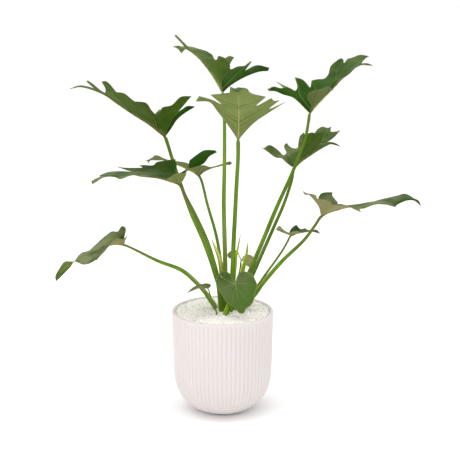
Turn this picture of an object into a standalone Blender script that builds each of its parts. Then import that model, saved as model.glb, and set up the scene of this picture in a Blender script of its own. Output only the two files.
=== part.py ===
"""A potted xanadu philodendron: fluted white planter, marble gravel, long-stalked lobed leaves."""

import math
import random

import bpy
import numpy as np
from mathutils import Vector
from mathutils.bvhtree import BVHTree
from mathutils.geometry import delaunay_2d_cdt

for old in list(bpy.data.objects):
    bpy.data.objects.remove(old, do_unlink=True)

MM = 0.001

# Driving sizes of the planter, in millimetres
POT_HEIGHT = 162.0
FLUTE_COUNT = 70
FLUTE_DEPTH = 1.3
FLUTE_FOOT = 3.0
FLUTE_RUN_OUT = 16.0
FLOOR_THICKNESS = 9.0
# Radius and height of the planter's rings: foot, fluted wall, rounded lip, then down inside
POT_FOOT = [(33.0, 0.0), (44.0, 3.4)]
POT_FLUTED = [(54.0, 9.4), (62.5, 18.0), (69.8, 28.4), (74.5, 40.0), (77.4, 56.0), (78.9, 95.0),
              (80.0, 156.5)]
POT_LIP = [(80.2, POT_HEIGHT - 3.3), (79.5, POT_HEIGHT - 0.8), (77.0, POT_HEIGHT),
           (74.5, POT_HEIGHT - 0.7), (73.6, POT_HEIGHT - 3.0)]
POT_INSIDE = [(73.2, 110.0), (71.0, 60.0), (62.0, 33.0), (48.0, 18.0), (30.0, FLOOR_THICKNESS)]

# Driving sizes of the filling
CLEARANCE = 0.3
WALL_CLEARANCE = 0.4
SOIL_TOP = 140.0
SOIL_RADIUS = 72.9
SOIL_STEP = 18.0
GRAVEL_TOP = 160.0
GRAVEL_EDGE = 0.8
GRAVEL_RADIUS = 73.2
GRAVEL_RELIEF = 1.3
GRAVEL_MOUND = 2.0
GRAVEL_MOUND_RADIUS = 60.0
GRAVEL_STEP = 5.7
SCATTER = 0.28
CROWN_RADII = (7.0, 14.0, 20.0)
CROWN_FOOT = 30.0
CROWN_SIDES = 20
CROWN_BACK = 6.0

# Driving sizes of the leaves
BLADE_THICKNESS = 0.8
STALK_SIDES = 6
STALK_STEP = 17.0
STALK_RISE = 5.0
HOLE_SIDES = 8
RIM_STEP = 7.0
FACE_STEP = 13.0

# The eye that the leaves' front view is drawn for: straight ahead of the pot, above the lip
EYE = Vector((11.6, -1600.0, 660.0))

TIP = 1


def material(name, colour, roughness):
    made = bpy.data.materials.new(name)
    made.use_nodes = True
    shader = made.node_tree.nodes["Principled BSDF"]
    shader.inputs["Base Color"].default_value = (*colour, 1.0)
    shader.inputs["Roughness"].default_value = roughness
    shader.inputs["Metallic"].default_value = 0.0
    return made


POT_CERAMIC = material("pot_ceramic", (0.86, 0.80, 0.78), 0.55)
POTTING_MIX = material("potting_mix", (0.09, 0.06, 0.04), 0.95)
MARBLE_GRAVEL = material("marble_gravel", (0.82, 0.80, 0.77), 0.7)
CROWN_BARK = material("crown_bark", (0.22, 0.20, 0.08), 0.8)
LEAF_BLADE = material("leaf_blade", (0.07, 0.16, 0.045), 0.4)
STALK_GREEN = material("stalk_green", (0.16, 0.30, 0.04), 0.45)
SHOOT_GREEN = material("shoot_green", (0.36, 0.48, 0.10), 0.5)


def add_object(name, points, faces, look, smooth=True):
    """One named object from points in millimetres."""
    mesh = bpy.data.meshes.new(name)
    mesh.from_pydata([tuple(MM * c for c in p) for p in points], [], faces)
    mesh.materials.append(look)
    if smooth:
        mesh.shade_smooth()
    made = bpy.data.objects.new(name, mesh)
    bpy.context.scene.collection.objects.link(made)
    return made


def curve(points, step):
    """A centripetal Catmull-Rom curve through points, sampled about every step, ends kept."""
    points = [np.array(p, float) for p in points]
    if len(points) == 2:
        count = max(1, round(float(np.linalg.norm(points[1] - points[0])) / step))
        return [points[0] + (points[1] - points[0]) * i / count for i in range(count)] + [points[1]]
    padded = [2 * points[0] - points[1]] + points + [2 * points[-1] - points[-2]]
    out = []
    for a, b, c, d in zip(padded, padded[1:], padded[2:], padded[3:]):
        gaps = [max(float(np.linalg.norm(q - p)), 1e-6) ** 0.5 for p, q in ((a, b), (b, c), (c, d))]
        knots = np.cumsum([0.0] + gaps)
        count = max(1, round(float(np.linalg.norm(c - b)) / step))
        for i in range(count):
            t = knots[1] + (knots[2] - knots[1]) * i / count
            out.append(neville((a, b, c, d), knots, t))
    return out + [points[-1]]


def neville(corners, knots, t):
    """The point at t of one Catmull-Rom span."""
    a, b, c, d = corners
    k0, k1, k2, k3 = knots
    ab = a * (k1 - t) / (k1 - k0) + b * (t - k0) / (k1 - k0)
    bc = b * (k2 - t) / (k2 - k1) + c * (t - k1) / (k2 - k1)
    cd = c * (k3 - t) / (k3 - k2) + d * (t - k2) / (k3 - k2)
    abc = ab * (k2 - t) / (k2 - k0) + bc * (t - k0) / (k2 - k0)
    bcd = bc * (k3 - t) / (k3 - k1) + cd * (t - k1) / (k3 - k1)
    return abc * (k2 - t) / (k2 - k1) + bcd * (t - k1) / (k2 - k1)


def seen(across, up, depth):
    """The point that the eye sees at (across, up) on the pot's middle plane, moved back by depth."""
    target = Vector((across, 0.0, up))
    return EYE + (target - EYE) * (1.0 + depth / -EYE.y)


def from_joint(joint, point):
    """A blade's point: (across, up) from the blade's joint as seen from the front, and its depth."""
    target = joint + Vector((point[0], 0.0, point[1]))
    return np.array(EYE + (target - EYE) * (1.0 + point[2] / (joint.y - EYE.y)))


# Planter


def add_pot():
    """Flutes run up the outside and die away at the foot and under the smooth lip."""
    fine = FLUTE_COUNT * 4
    coarse = FLUTE_COUNT
    points = []

    def ring(count, radius, height, depth=0.0):
        first = len(points)
        for i in range(count):
            turn = 2 * math.pi * i / count
            r = radius - depth * (0.5 - 0.5 * math.cos(turn * FLUTE_COUNT))
            points.append((r * math.cos(turn), r * math.sin(turn), height))
        return list(range(first, first + count))

    def flute_depth(height):
        return FLUTE_DEPTH * min(1.0, max(0.0, (height - FLUTE_FOOT) / FLUTE_RUN_OUT))

    rings = [ring(coarse, *POT_FOOT[0]), ring(coarse, *POT_FOOT[1])]
    for radius, height in POT_FLUTED:
        rings.append(ring(fine, radius, height, flute_depth(height)))
    rings += [ring(coarse, radius, height) for radius, height in POT_LIP + POT_INSIDE]
    faces = [tuple(reversed(rings[0])), tuple(rings[-1])]
    for low, high in zip(rings, rings[1:]):
        if len(low) == len(high):
            faces += band(low, high)
        elif len(low) < len(high):
            faces += fan_band(low, high)
        else:
            faces += [tuple(reversed(f)) for f in fan_band(high, low)]
    return add_object("pot", points, faces, POT_CERAMIC)


def band(low, high):
    count = len(low)
    return [(low[i], low[(i + 1) % count], high[(i + 1) % count], high[i]) for i in range(count)]


def fan_band(coarse, fine):
    """Joins a ring to one above it with four times the points."""
    count = len(coarse)
    faces = []
    for i in range(count):
        j = (i + 1) % count
        edge = [fine[(4 * i + k) % len(fine)] for k in range(5)]
        faces += [(coarse[i], edge[1], edge[0]), (coarse[i], edge[2], edge[1]),
                  (coarse[i], coarse[j], edge[2]), (coarse[j], edge[3], edge[2]),
                  (coarse[j], edge[4], edge[3])]
    return faces


# Filling


def disc(name, look, outside, underside, top_of, step, seed):
    """A round slab: rough top of seeded heights, smooth side, flat bottom."""
    draw = random.Random(seed)
    count = max(24, round(2 * math.pi * outside[-1][0] / step))
    flat = []
    for i in range(count):
        turn = 2 * math.pi * i / count
        flat.append(Vector((outside[-1][0] * math.cos(turn), outside[-1][0] * math.sin(turn))))
    edges = [(i, (i + 1) % count) for i in range(count)]
    row_gap = step * math.sqrt(0.75)
    rows = int(outside[-1][0] / row_gap)
    for row in range(-rows, rows + 1):
        for column in range(-rows - 2, rows + 3):
            x = (column + 0.5 * (row % 2)) * step + draw.uniform(-SCATTER, SCATTER) * step
            y = row * row_gap + draw.uniform(-SCATTER, SCATTER) * step
            if math.hypot(x, y) < outside[-1][0] - 0.6 * step:
                flat.append(Vector((x, y)))
    verts, _, faces, _, _, _ = delaunay_2d_cdt(flat, edges, [], 1, 1e-6)
    points = [(v.x, v.y, top_of(v.x, v.y, draw)) for v in verts]
    faces = [tuple(f) for f in faces]
    ring = list(range(count))
    for r, z in reversed(outside[:-1]):
        lower = list(range(len(points), len(points) + count))
        for i in range(count):
            turn = 2 * math.pi * i / count
            points.append((r * math.cos(turn), r * math.sin(turn), z))
        for i in range(count):
            j = (i + 1) % count
            faces.append((lower[i], lower[j], ring[j], ring[i]))
        ring = lower
    points.append((0.0, 0.0, underside))
    centre = len(points) - 1
    for i in range(count):
        faces.append((ring[(i + 1) % count], ring[i], centre))
    return add_object(name, points, faces, look, smooth=False)


def gravel_height(x, y, draw):
    """Crushed stone, heaped a little toward the stalks, with seeded bumps."""
    radius = math.hypot(x, y)
    heap = GRAVEL_MOUND * max(0.0, 1.0 - (radius / GRAVEL_MOUND_RADIUS) ** 2)
    if radius > GRAVEL_RADIUS - 0.5:
        return GRAVEL_TOP - GRAVEL_EDGE
    return GRAVEL_TOP + heap + draw.uniform(-GRAVEL_RELIEF, GRAVEL_RELIEF)


def soil_height(x, y, draw):
    return SOIL_TOP


def add_filling(stalks):
    """Soil and gravel, each with a plain straight hole for every stalk that stands in it."""
    side = [(radius - WALL_CLEARANCE, height + CLEARANCE) for radius, height in POT_INSIDE[::-1]]
    soil = disc("potting_mix", POTTING_MIX, side + [(SOIL_RADIUS, SOIL_TOP)],
                FLOOR_THICKNESS + CLEARANCE, soil_height, SOIL_STEP, 3)
    gravel = disc("gravel", MARBLE_GRAVEL,
                  [(SOIL_RADIUS, SOIL_TOP + CLEARANCE), (GRAVEL_RADIUS, GRAVEL_TOP - GRAVEL_EDGE)],
                  SOIL_TOP + CLEARANCE, gravel_height, GRAVEL_STEP, 11)
    levels = (CROWN_FOOT, 0.5 * (CROWN_FOOT + SOIL_TOP), SOIL_TOP)
    crown = tube("crown", CROWN_BARK, [(0, CROWN_BACK, z) for z in levels], CROWN_RADII,
                 CROWN_SIDES, SOIL_TOP)
    wider = [radius + CLEARANCE for radius in CROWN_RADII]
    levels = (CROWN_FOOT - CLEARANCE, levels[1], SOIL_TOP, SOIL_TOP + 0.5 * (SOIL_TOP - CROWN_FOOT))
    pocket = tube("crown_pocket", CROWN_BARK, [(0, CROWN_BACK, z) for z in levels],
                  wider + wider[-1:], CROWN_SIDES, SOIL_TOP)
    holes = []
    for number, (low, high, radius) in enumerate(stalks):
        direction = (high - low).normalized()
        start = low - direction * CLEARANCE
        end = low + direction * ((GRAVEL_TOP + 8.0 - low.z) / direction.z)
        holes.append(tube(f"stalk_hole_{number + 1}", CROWN_BARK, [start, end],
                          [(radius + CLEARANCE) / math.cos(math.pi / HOLE_SIDES)],
                          HOLE_SIDES, 100.0))
    for cutter in holes + [pocket]:
        cutter.hide_render = True
        cutter.display_type = "WIRE"
    for body, cutters in ((soil, [pocket]), (gravel, holes)):
        for cutter in cutters:
            cut = body.modifiers.new(cutter.name, "BOOLEAN")
            cut.operation = "DIFFERENCE"
            cut.object = cutter
    return soil, gravel, crown


# Stalks and shoots


def tube(name, look, path, radii, sides, step):
    """A round rod along path; radii are spread evenly over its points."""
    path = [np.array(p, float) for p in path]
    radii = list(radii) * (2 if len(radii) == 1 else 1)
    stations = np.linspace(0.0, 1.0, len(radii))
    line = curve(path, step)
    lengths = np.cumsum([0.0] + [float(np.linalg.norm(q - p)) for p, q in zip(line, line[1:])])
    share = lengths / lengths[-1]
    widths = np.interp(share, stations, radii)
    side = np.array((1.0, 0.0, 0.0))
    points = []
    for i, centre in enumerate(line):
        ahead = line[min(i + 1, len(line) - 1)] - line[max(i - 1, 0)]
        ahead = ahead / np.linalg.norm(ahead)
        side = side - ahead * float(side @ ahead)
        side = side / np.linalg.norm(side)
        other = np.cross(ahead, side)
        for k in range(sides):
            turn = 2 * math.pi * k / sides
            points.append(centre + widths[i] * (math.cos(turn) * side + math.sin(turn) * other))
    faces = []
    for i in range(len(line) - 1):
        for k in range(sides):
            j = (k + 1) % sides
            low, high = i * sides, (i + 1) * sides
            faces.append((low + k, low + j, high + j, high + k))
    faces.append(tuple(reversed(range(sides))))
    faces.append(tuple(range(len(points) - sides, len(points))))
    return add_object(name, points, faces, look)


# Leaves


def plate_terms(a, b):
    """Thin-plate kernel between two sets of flat points."""
    square = ((a[:, None, :] - b[None, :, :]) ** 2).sum(2)
    return np.where(square > 0, square * np.log(np.maximum(square, 1e-12)), 0.0)


def plate_through(flat, space):
    """The smoothest sheet through space points that sit at flat points."""
    scale = 50.0
    flat = flat / scale
    count = len(flat)
    system = np.zeros((count + 3, count + 3))
    system[:count, :count] = plate_terms(flat, flat) + 1e-6 * np.eye(count)
    system[:count, count] = 1.0
    system[:count, count + 1:] = flat
    system[count:, :count] = system[:count, count:].T
    wanted = np.zeros((count + 3, 3))
    wanted[:count] = space
    weights = np.linalg.solve(system, wanted)

    def sheet(where):
        where = where / scale
        return (plate_terms(where, flat) @ weights[:count] + weights[count]
                + where @ weights[count + 1:])

    return sheet


def flatten(points, midrib, along):
    """Lays margin points out flat: distance along the midrib and distance from it."""
    out = []
    for p in points:
        best = None
        for i in range(len(midrib) - 1):
            span = midrib[i + 1] - midrib[i]
            length = float(np.linalg.norm(span))
            t = float((p - midrib[i]) @ span) / length ** 2
            low = -9.0 if i == 0 else 0.0
            high = 9.0 if i == len(midrib) - 2 else 1.0
            t = min(max(t, low), high)
            off = float(np.linalg.norm(p - midrib[i] - span * t))
            if best is None or off < best[1]:
                best = (along[i] + t * length, off)
        out.append(best)
    return np.array(out)


def margin(points, joint, step):
    """The margin curve in space, broken at each lobe's tip."""
    spans = [[]]
    for point in points:
        spans[-1].append(from_joint(joint, point))
        if len(point) == 4 and point is not points[-1]:
            spans.append([spans[-1][-1]])
    line = []
    for span in spans:
        if len(span) > 1:
            line += curve(span, step)[:-1]
    return line + [from_joint(joint, points[-1])]


def add_blade(name, joint, midrib, near, far, near_side, face_step, rib):
    """One leaf blade as a thin sheet through its midrib and its two margins.

    near_side is 1 where the near half lies on the left of the midrib seen from above, else -1.
    """
    start = (0, 0, 0)
    spine = curve([from_joint(joint, p) for p in [start] + midrib], RIM_STEP * 1.4)
    along = np.cumsum([0.0] + [float(np.linalg.norm(q - p)) for p, q in zip(spine, spine[1:])])
    halves = []
    for points, side in ((near, near_side), (far, -near_side)):
        line = margin([start] + points + [midrib[-1]], joint, RIM_STEP)[1:-1]
        laid = flatten(line, spine, along)
        laid[:, 1] *= side
        halves.append((np.array(line), laid))
    flat_spine = np.stack([along, np.zeros(len(along))], 1)
    space = [np.array(spine)] + [h[0] for h in halves]
    flat = [flat_spine] + [h[1] for h in halves]
    sheets = []
    for line, laid in halves:
        sheets.append(plate_through(np.vstack([flat_spine, laid]), np.vstack([spine, line])))
    near_count, far_count = len(halves[0][0]), len(halves[1][0])
    rib_count = len(spine)
    loop = [0] + list(range(rib_count, rib_count + near_count)) + [rib_count - 1]
    loop += list(reversed(range(rib_count + near_count, rib_count + near_count + far_count)))
    known_flat = np.vstack(flat)
    known_space = np.vstack(space)
    inner = []
    low = known_flat.min(0)
    high = known_flat.max(0)
    row = 0
    y = low[1]
    while y < high[1]:
        x = low[0] + 0.5 * face_step * (row % 2)
        while x < high[0]:
            here = np.array((x, y))
            if np.min(((known_flat - here) ** 2).sum(1)) > (0.6 * face_step) ** 2:
                if abs(y) > 0.5 * face_step:
                    inner.append(here)
            x += face_step
        y += face_step * math.sqrt(0.75)
        row += 1
    every = [Vector(p) for p in list(known_flat) + inner]
    edges = [(i, i + 1) for i in range(rib_count - 1)]
    verts, _, faces, origins, _, _ = delaunay_2d_cdt(every, edges, [loop], 1, 1e-5)
    used = sorted({k for f in faces for k in f})
    place = {k: i for i, k in enumerate(used)}
    faces = [tuple(place[k] for k in f) for f in faces]
    verts = [verts[k] for k in used]
    origins = [origins[k] for k in used]
    middle = []
    for v, source in zip(verts, origins):
        where = np.array([[v.x, v.y]])
        if source and source[0] < len(known_space):
            middle.append(known_space[source[0]])
        else:
            side = 0 if v.y * near_side > 0 else 1
            middle.append(sheets[side](where)[0])
    middle = np.array(middle)
    flat_v = np.array([(v.x, v.y) for v in verts])
    tris = []
    for f in faces:
        a, b, c = f
        area = np.cross(flat_v[b] - flat_v[a], flat_v[c] - flat_v[a])
        tris.append((a, b, c) if area > 0 else (a, c, b))
    normals = np.zeros_like(middle)
    for a, b, c in tris:
        n = np.cross(middle[b] - middle[a], middle[c] - middle[a])
        for k in (a, b, c):
            normals[k] += n
    normals /= np.linalg.norm(normals, axis=1)[:, None]
    length = along[-1]
    swell = np.array([rib * max(0.0, 1.0 - v.x / length) if abs(v.y) < 1e-3 else 0.0
                      for v in verts])
    upper = middle + normals * (0.5 * BLADE_THICKNESS)
    lower = middle - normals * (0.5 * BLADE_THICKNESS + swell)[:, None]
    total = len(middle)
    faces = list(tris) + [(a + total, c + total, b + total) for a, b, c in tris]
    border = {}
    for t in tris:
        for a, b in ((t[0], t[1]), (t[1], t[2]), (t[2], t[0])):
            border[(a, b)] = border.get((a, b), 0) + 1
    for a, b in border:
        if (b, a) not in border:
            faces.append((a, a + total, b + total))
            faces.append((a, b + total, b))
    return add_object(name, list(upper) + list(lower), faces, LEAF_BLADE)


STALKS = []


def stop_short(joint, upward, radius, blade):
    """Where a stalk that points upward at the joint ends, just clear of the blade's underside."""
    corners = [v.co / MM for v in blade.data.vertices]
    skin = BVHTree.FromPolygons(corners, [tuple(f.vertices) for f in blade.data.polygons])
    side = upward.orthogonal().normalized()
    other = upward.cross(side)
    probes = []
    for below in (0.0, 2.0, 5.0):
        for share in (0.0, 0.4, 0.7, 1.0):
            for k in range(24):
                turn = 2 * math.pi * k / 24
                across = share * radius * (math.cos(turn) * side + math.sin(turn) * other)
                probes.append(joint - upward * below + across)
    back = 0.0
    while min(skin.find_nearest(p - upward * back)[3] for p in probes) < CLEARANCE + 0.1:
        back += 0.1
    return joint - upward * back


def add_leaf(name, top, midrib, near, far, near_side, stalk, radii, foot, face_step=FACE_STEP,
             rib=1.6):
    """A blade and its stalk.

    top is the joint of the two and stalk the way down from it, all as (across, up, depth) seen
    from the front; foot is where the stalk stands, (x, y) at the crown and at the gravel's top.
    """
    joint = seen(*top)
    blade = add_blade(f"{name}_blade", joint, midrib, near, far, near_side, face_step, rib)
    lean = math.hypot(foot[2] - foot[0], foot[3] - foot[1]) / (GRAVEL_TOP - SOIL_TOP)
    low = Vector((foot[0], foot[1], SOIL_TOP + CLEARANCE + lean * radii[0]))
    high = Vector((foot[2], foot[3], GRAVEL_TOP + STALK_RISE))
    way = [seen(*p) for p in stalk]
    end = stop_short(joint, (joint - way[0]).normalized(), radii[1], blade)
    path = [low, low.lerp(high, 0.8), high] + list(reversed(way)) + [end]
    line = tube(f"{name}_stalk", STALK_GREEN, path, [radii[0], radii[0] * 0.8, radii[1]],
                STALK_SIDES, STALK_STEP)
    STALKS.append((low, high, radii[0]))
    return line


add_pot()

# Leaf 1: the tallest, top middle, tip up and away to the left
add_leaf(
    "leaf_1", (1, 503, 25),
    midrib=[(-16, 27, 12), (-36, 52, 35), (-55, 66, 58), (-76, 70, 85)],
    near=[(-1, 19, -8), (11, 38, -30), (10, 44, -36), (3, 53, -42), (-7, 56, -40, TIP),
          (-10, 50, -24), (-13, 51, -20), (-28, 53, 14, TIP), (-21, 41, 11, TIP), (-28, 48, 20),
          (-35, 55, 30), (-43, 60, 40), (-50, 66, 48), (-53, 70, 46), (-71, 88, 37, TIP),
          (-73, 86, 38, TIP), (-57, 68, 57), (-66, 71, 70)],
    far=[(12, 11, 20), (32, 23, 48), (56, 32, 78), (69, 33, 92, TIP), (71, 38, 96, TIP),
         (53, 42, 84), (34, 34, 58, TIP), (44, 47, 80, TIP), (42, 48, 80, TIP), (33, 41, 66, TIP),
         (22, 40, 60), (12, 36, 54), (10, 41, 62), (17, 54, 90, TIP), (10, 56, 95), (3, 52, 84),
         (-6, 44, 64), (-12, 50, 70), (-16, 58, 80, TIP), (-25, 63, 82), (-34, 65, 84),
         (-42, 67, 88), (-52, 68, 94), (-57, 66, 98), (-63, 60, 104, TIP), (-69, 67, 94)],
    stalk=[(3, 465, 20), (3, 385, 14), (2, 333, 13), (3, 283, 12), (4, 239, 12)],
    near_side=1, radii=(4.1, 2.4), foot=(4, 13, 4, 13))

# Leaf 2: front middle, rising toward the viewer with its pale underside showing
add_leaf(
    "leaf_2", (24, 430, -30),
    midrib=[(1, 30, -25), (1, 60, -60), (0, 79, -98), (-1, 72, -140)],
    near=[(-3, 6, 0), (-15, 24, -8), (-31, 45, -15), (-42, 58, -20), (-63, 59, -25, TIP),
          (-58, 67, -28, TIP), (-43, 63, -32), (-24, 54, -42), (-41, 69, -62, TIP),
          (-31, 70, -70), (-20, 70, -85), (-14, 70, -100), (-12, 81, -128, TIP), (-7, 75, -137)],
    far=[(3, 5, 0), (16, 20, -6), (28, 31, -10), (40, 39, -14), (71, 59, -20, TIP), (46, 48, -22),
         (61, 61, -40, TIP), (53, 60, -44), (49, 64, -50, TIP), (26, 52, -50), (41, 66, -75, TIP),
         (23, 70, -85), (17, 73, -98), (13, 78, -120), (7, 78, -132)],
    stalk=[(24, 408, -29), (21, 349, -25), (19, 307, -21), (17, 267, -18), (16, 233, -16)],
    near_side=-1, radii=(4.2, 2.9), foot=(13, -9, 13, -9))

# Leaf 3: left upper, reaching left
add_leaf(
    "leaf_3", (-87, 436, 22),
    midrib=[(-25, 20, 0), (-47, 34, -2), (-72, 51, -4), (-94, 66, -8), (-129, 77, -12),
            (-146, 74, -15)],
    near=[(2, 7, -4), (10, 26, -22), (29, 49, -45), (41, 63, -55, TIP), (25, 62, -58),
          (10, 49, -52), (-3, 46, -50), (-11, 33, -28), (-20, 41, -45), (-29, 53, -62),
          (-44, 55, -70, TIP), (-47, 55, -62), (-61, 67, -66), (-72, 69, -62), (-88, 70, -50),
          (-93, 68, -36), (-100, 74, -40), (-108, 81, -45), (-117, 87, -51, TIP),
          (-119, 85, -51, TIP), (-112, 79, -34), (-109, 75, -24), (-129, 79, -22)],
    far=[(9, 12, 12), (19, 27, 28), (31, 37, 42), (47, 47, 56, TIP), (35, 48, 55), (25, 42, 46),
         (8, 34, 34), (-8, 43, 70, TIP), (-20, 34, 40), (-35, 50, 78, TIP), (-50, 44, 42),
         (-62, 56, 46), (-75, 71, 60), (-83, 81, 68), (-90, 86, 74), (-96, 85, 75, TIP),
         (-90, 73, 56), (-95, 67, 34), (-118, 77, 24)],
    stalk=[(-83, 424, 22), (-76, 400, 23), (-58, 343, 20), (-48, 314, 15), (-31, 275, 10),
           (-18, 241, 6), (-11, 218, 4)],
    near_side=1, radii=(3.5, 2.6), foot=(5, 1, 5, 1))

# Leaf 4: right upper, the widest, dark upper side toward the viewer
add_leaf(
    "leaf_4", (132, 472, -15),
    midrib=[(10, 12, 4), (21, 24, 6), (32, 35, 9), (44, 48, 12), (54, 58, 15), (67, 68, 18),
            (76, 72, 21), (93, 71, 26)],
    near=[(2, 11, -14), (-1, 17, -26), (-4, 22, -36), (-4, 28, -44), (0, 31, -50), (8, 34, -52),
          (18, 37, -50), (26, 40, -46), (30, 39, -48), (34, 34, -56, TIP), (36, 39, -34),
          (40, 47, -20), (44, 52, -16), (49, 53, -12), (58, 59, -6), (67, 68, -2), (75, 72, 4),
          (86, 74, 14)],
    far=[(-6, 6, 5), (-17, 17, 15), (-26, 24, 24), (-40, 28, 36), (-52, 33, 46),
         (-61, 33, 52, TIP), (-64, 36, 54, TIP), (-54, 40, 50), (-46, 38, 46), (-40, 38, 42),
         (-51, 48, 58, TIP), (-41, 43, 52), (-28, 37, 42), (-22, 34, 36), (-19, 39, 44),
         (-23, 54, 62, TIP), (-12, 51, 62), (-6, 46, 56), (0, 39, 42), (2, 49, 58, TIP),
         (10, 51, 62), (21, 52, 62), (26, 57, 62), (30, 70, 74), (36, 76, 80), (46, 82, 84),
         (49, 80, 84, TIP), (50, 75, 70), (55, 81, 76), (63, 83, 74), (73, 87, 70),
         (87, 85, 66, TIP), (82, 82, 60), (77, 73, 36)],
    stalk=[(131, 463, -14), (126, 433, -13), (116, 405, -11), (105, 376, -8), (85, 330, -5),
           (63, 275, -1), (48, 238, 1)],
    near_side=-1, radii=(4.9, 2.4), foot=(20, 4, 20, 4))

# Leaf 5: right middle, behind leaf 4's stalk
add_leaf(
    "leaf_5", (110, 389, 50),
    midrib=[(10, 9, 4), (24, 19, 10), (41, 30, 18), (50, 35, 26), (61, 39, 34), (74, 33, 50)],
    near=[(3, 12, -10), (9, 28, -25), (14, 52, -45, TIP), (27, 56, -45), (30, 55, -40),
          (47, 55, -30, TIP), (43, 45, -12), (38, 31, 8), (50, 37, 22)],
    far=[(-5, 2, 5), (-16, 11, 16), (-20, 15, 20), (-29, 16, 28), (-43, 26, 36),
         (-53, 33, 40, TIP), (-48, 31, 44), (-44, 34, 48), (-39, 36, 52), (-31, 32, 52),
         (-24, 26, 46), (-17, 20, 36), (-13, 23, 38), (-16, 31, 48), (-16, 36, 56), (-12, 39, 60),
         (-9, 35, 58), (-2, 31, 50), (4, 31, 48), (6, 41, 62), (8, 50, 78), (14, 56, 88, TIP),
         (22, 44, 64), (37, 62, 92), (44, 65, 100), (51, 63, 102), (57, 65, 106, TIP),
         (57, 57, 92), (72, 59, 104, TIP), (62, 48, 84), (46, 36, 56), (56, 39, 46)],
    stalk=[(106, 368, 48), (94, 330, 43), (80, 299, 37), (70, 275, 32), (55, 236, 25)],
    near_side=-1, radii=(4.0, 2.7), foot=(28, 15, 28, 15))

# Leaf 6: left middle, held level, reaching left
add_leaf(
    "leaf_6", (-66, 363, -55),
    midrib=[(-19, 6, -4), (-34, 10, -8), (-55, 12, -12), (-73, 15, -16), (-97, 13, -20),
            (-114, 10, -24), (-130, 0, -28)],
    near=[(4, 4, -4), (11, 17, -28, TIP), (-5, 16, -40), (-19, 7, -50, TIP), (-29, 9, -30),
          (-51, 12, -72, TIP), (-59, 14, -36), (-74, 13, -66), (-87, 8, -60), (-96, 11, -40),
          (-120, 13, -60, TIP), (-116, 10, -40), (-123, 4, -42, TIP)],
    far=[(6, 13, 8), (14, 22, 18), (36, 31, 38), (45, 42, 46), (56, 48, 54, TIP),
         (53, 51, 56, TIP), (37, 51, 56), (24, 43, 50), (15, 36, 44, TIP), (11, 24, 24),
         (-3, 16, 18), (-4, 30, 50), (-6, 38, 62, TIP), (-19, 36, 62), (-34, 33, 60),
         (-38, 29, 56), (-55, 29, 62), (-60, 28, 68, TIP), (-55, 25, 54), (-72, 24, 56),
         (-94, 27, 64, TIP), (-77, 21, 42), (-69, 18, 20), (-88, 19, 26), (-106, 18, 22),
         (-118, 14, 14, TIP), (-119, 9, -8), (-125, 8, -14), (-131, 5, -22, TIP)],
    stalk=[(-57, 344, -52), (-42, 314, -45), (-25, 275, -35), (-15, 243, -27), (-9, 218, -21)],
    near_side=1, radii=(4.0, 2.4), foot=(-2, -10, -2, -10))

# Leaf 7: behind leaf 6
add_leaf(
    "leaf_7", (-35, 375, 95),
    midrib=[(-8, 6, 3), (-20, 12, 6), (-32, 18, 9), (-45, 22, 12), (-57, 27, 15), (-68, 27, 17),
            (-79, 27, 19), (-88, 26, 20)],
    near=[(7, 7, -4), (19, 13, -10), (31, 16, -14), (43, 19, -16), (50, 19, -17), (53, 22, -18),
          (50, 25, -18), (43, 23, -17), (31, 19, -14), (18, 16, -12), (7, 19, -20, TIP),
          (-9, 18, -14), (-17, 21, -12), (-26, 24, -10), (-36, 25, -14, TIP), (-47, 26, -6),
          (-55, 29, -4), (-60, 31, -4), (-64, 33, -4), (-68, 35, -3), (-72, 35, 0), (-76, 32, 4),
          (-81, 29, 10)],
    far=[(-2, 6, 8), (-8, 9, 16), (-15, 13, 24), (-26, 17, 40, TIP), (-30, 18, 26),
         (-42, 22, 40, TIP), (-48, 23, 28), (-58, 29, 32), (-68, 31, 32), (-77, 29, 28),
         (-85, 20, 25, TIP), (-84, 25, 22)],
    stalk=[(-23, 330, 80), (-8, 273, 60)],
    near_side=1, radii=(3.2, 2.1), foot=(4, 26, 4, 26))

# Leaf 8: low left on a long leaning stalk, blade hanging down to the left
add_leaf(
    "leaf_8", (-153, 267, -20),
    midrib=[(-14, 1, -4), (-27, -2, -7), (-39, -10, -10), (-52, -16, -13), (-64, -21, -15),
            (-76, -25, -18), (-89, -33, -20), (-99, -43, -23), (-107, -58, -25)],
    near=[(1, 6, -8), (6, 16, -35, TIP), (-3, 9, -28), (-11, 11, -38), (-18, 6, -42),
          (-22, 1, -36), (-28, -7, -40), (-41, -21, -52), (-43, -24, -56, TIP), (-45, -24, -46),
          (-56, -30, -55), (-64, -31, -50), (-72, -28, -34), (-77, -26, -23), (-83, -26, -26),
          (-91, -27, -36), (-99, -37, -40), (-108, -50, -37)],
    far=[(0, 10, 10), (3, 25, 22), (1, 29, 27), (-3, 30, 28), (-6, 27, 27), (-9, 22, 26),
         (-20, 21, 44), (-27, 15, 40), (-34, 10, 32), (-43, -1, 48), (-54, -10, 32),
         (-64, -11, 36, TIP), (-71, -17, 14), (-76, -23, -13), (-81, -30, -14),
         (-85, -36, -8, TIP), (-92, -43, -10), (-99, -50, -14)],
    stalk=[(-101, 241, -16), (-64, 226, -12), (-41, 206, -6), (-28, 191, -1), (-18, 176, 2)],
    near_side=1, radii=(4.3, 1.8), foot=(-11, 5, -12, 6))

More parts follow.
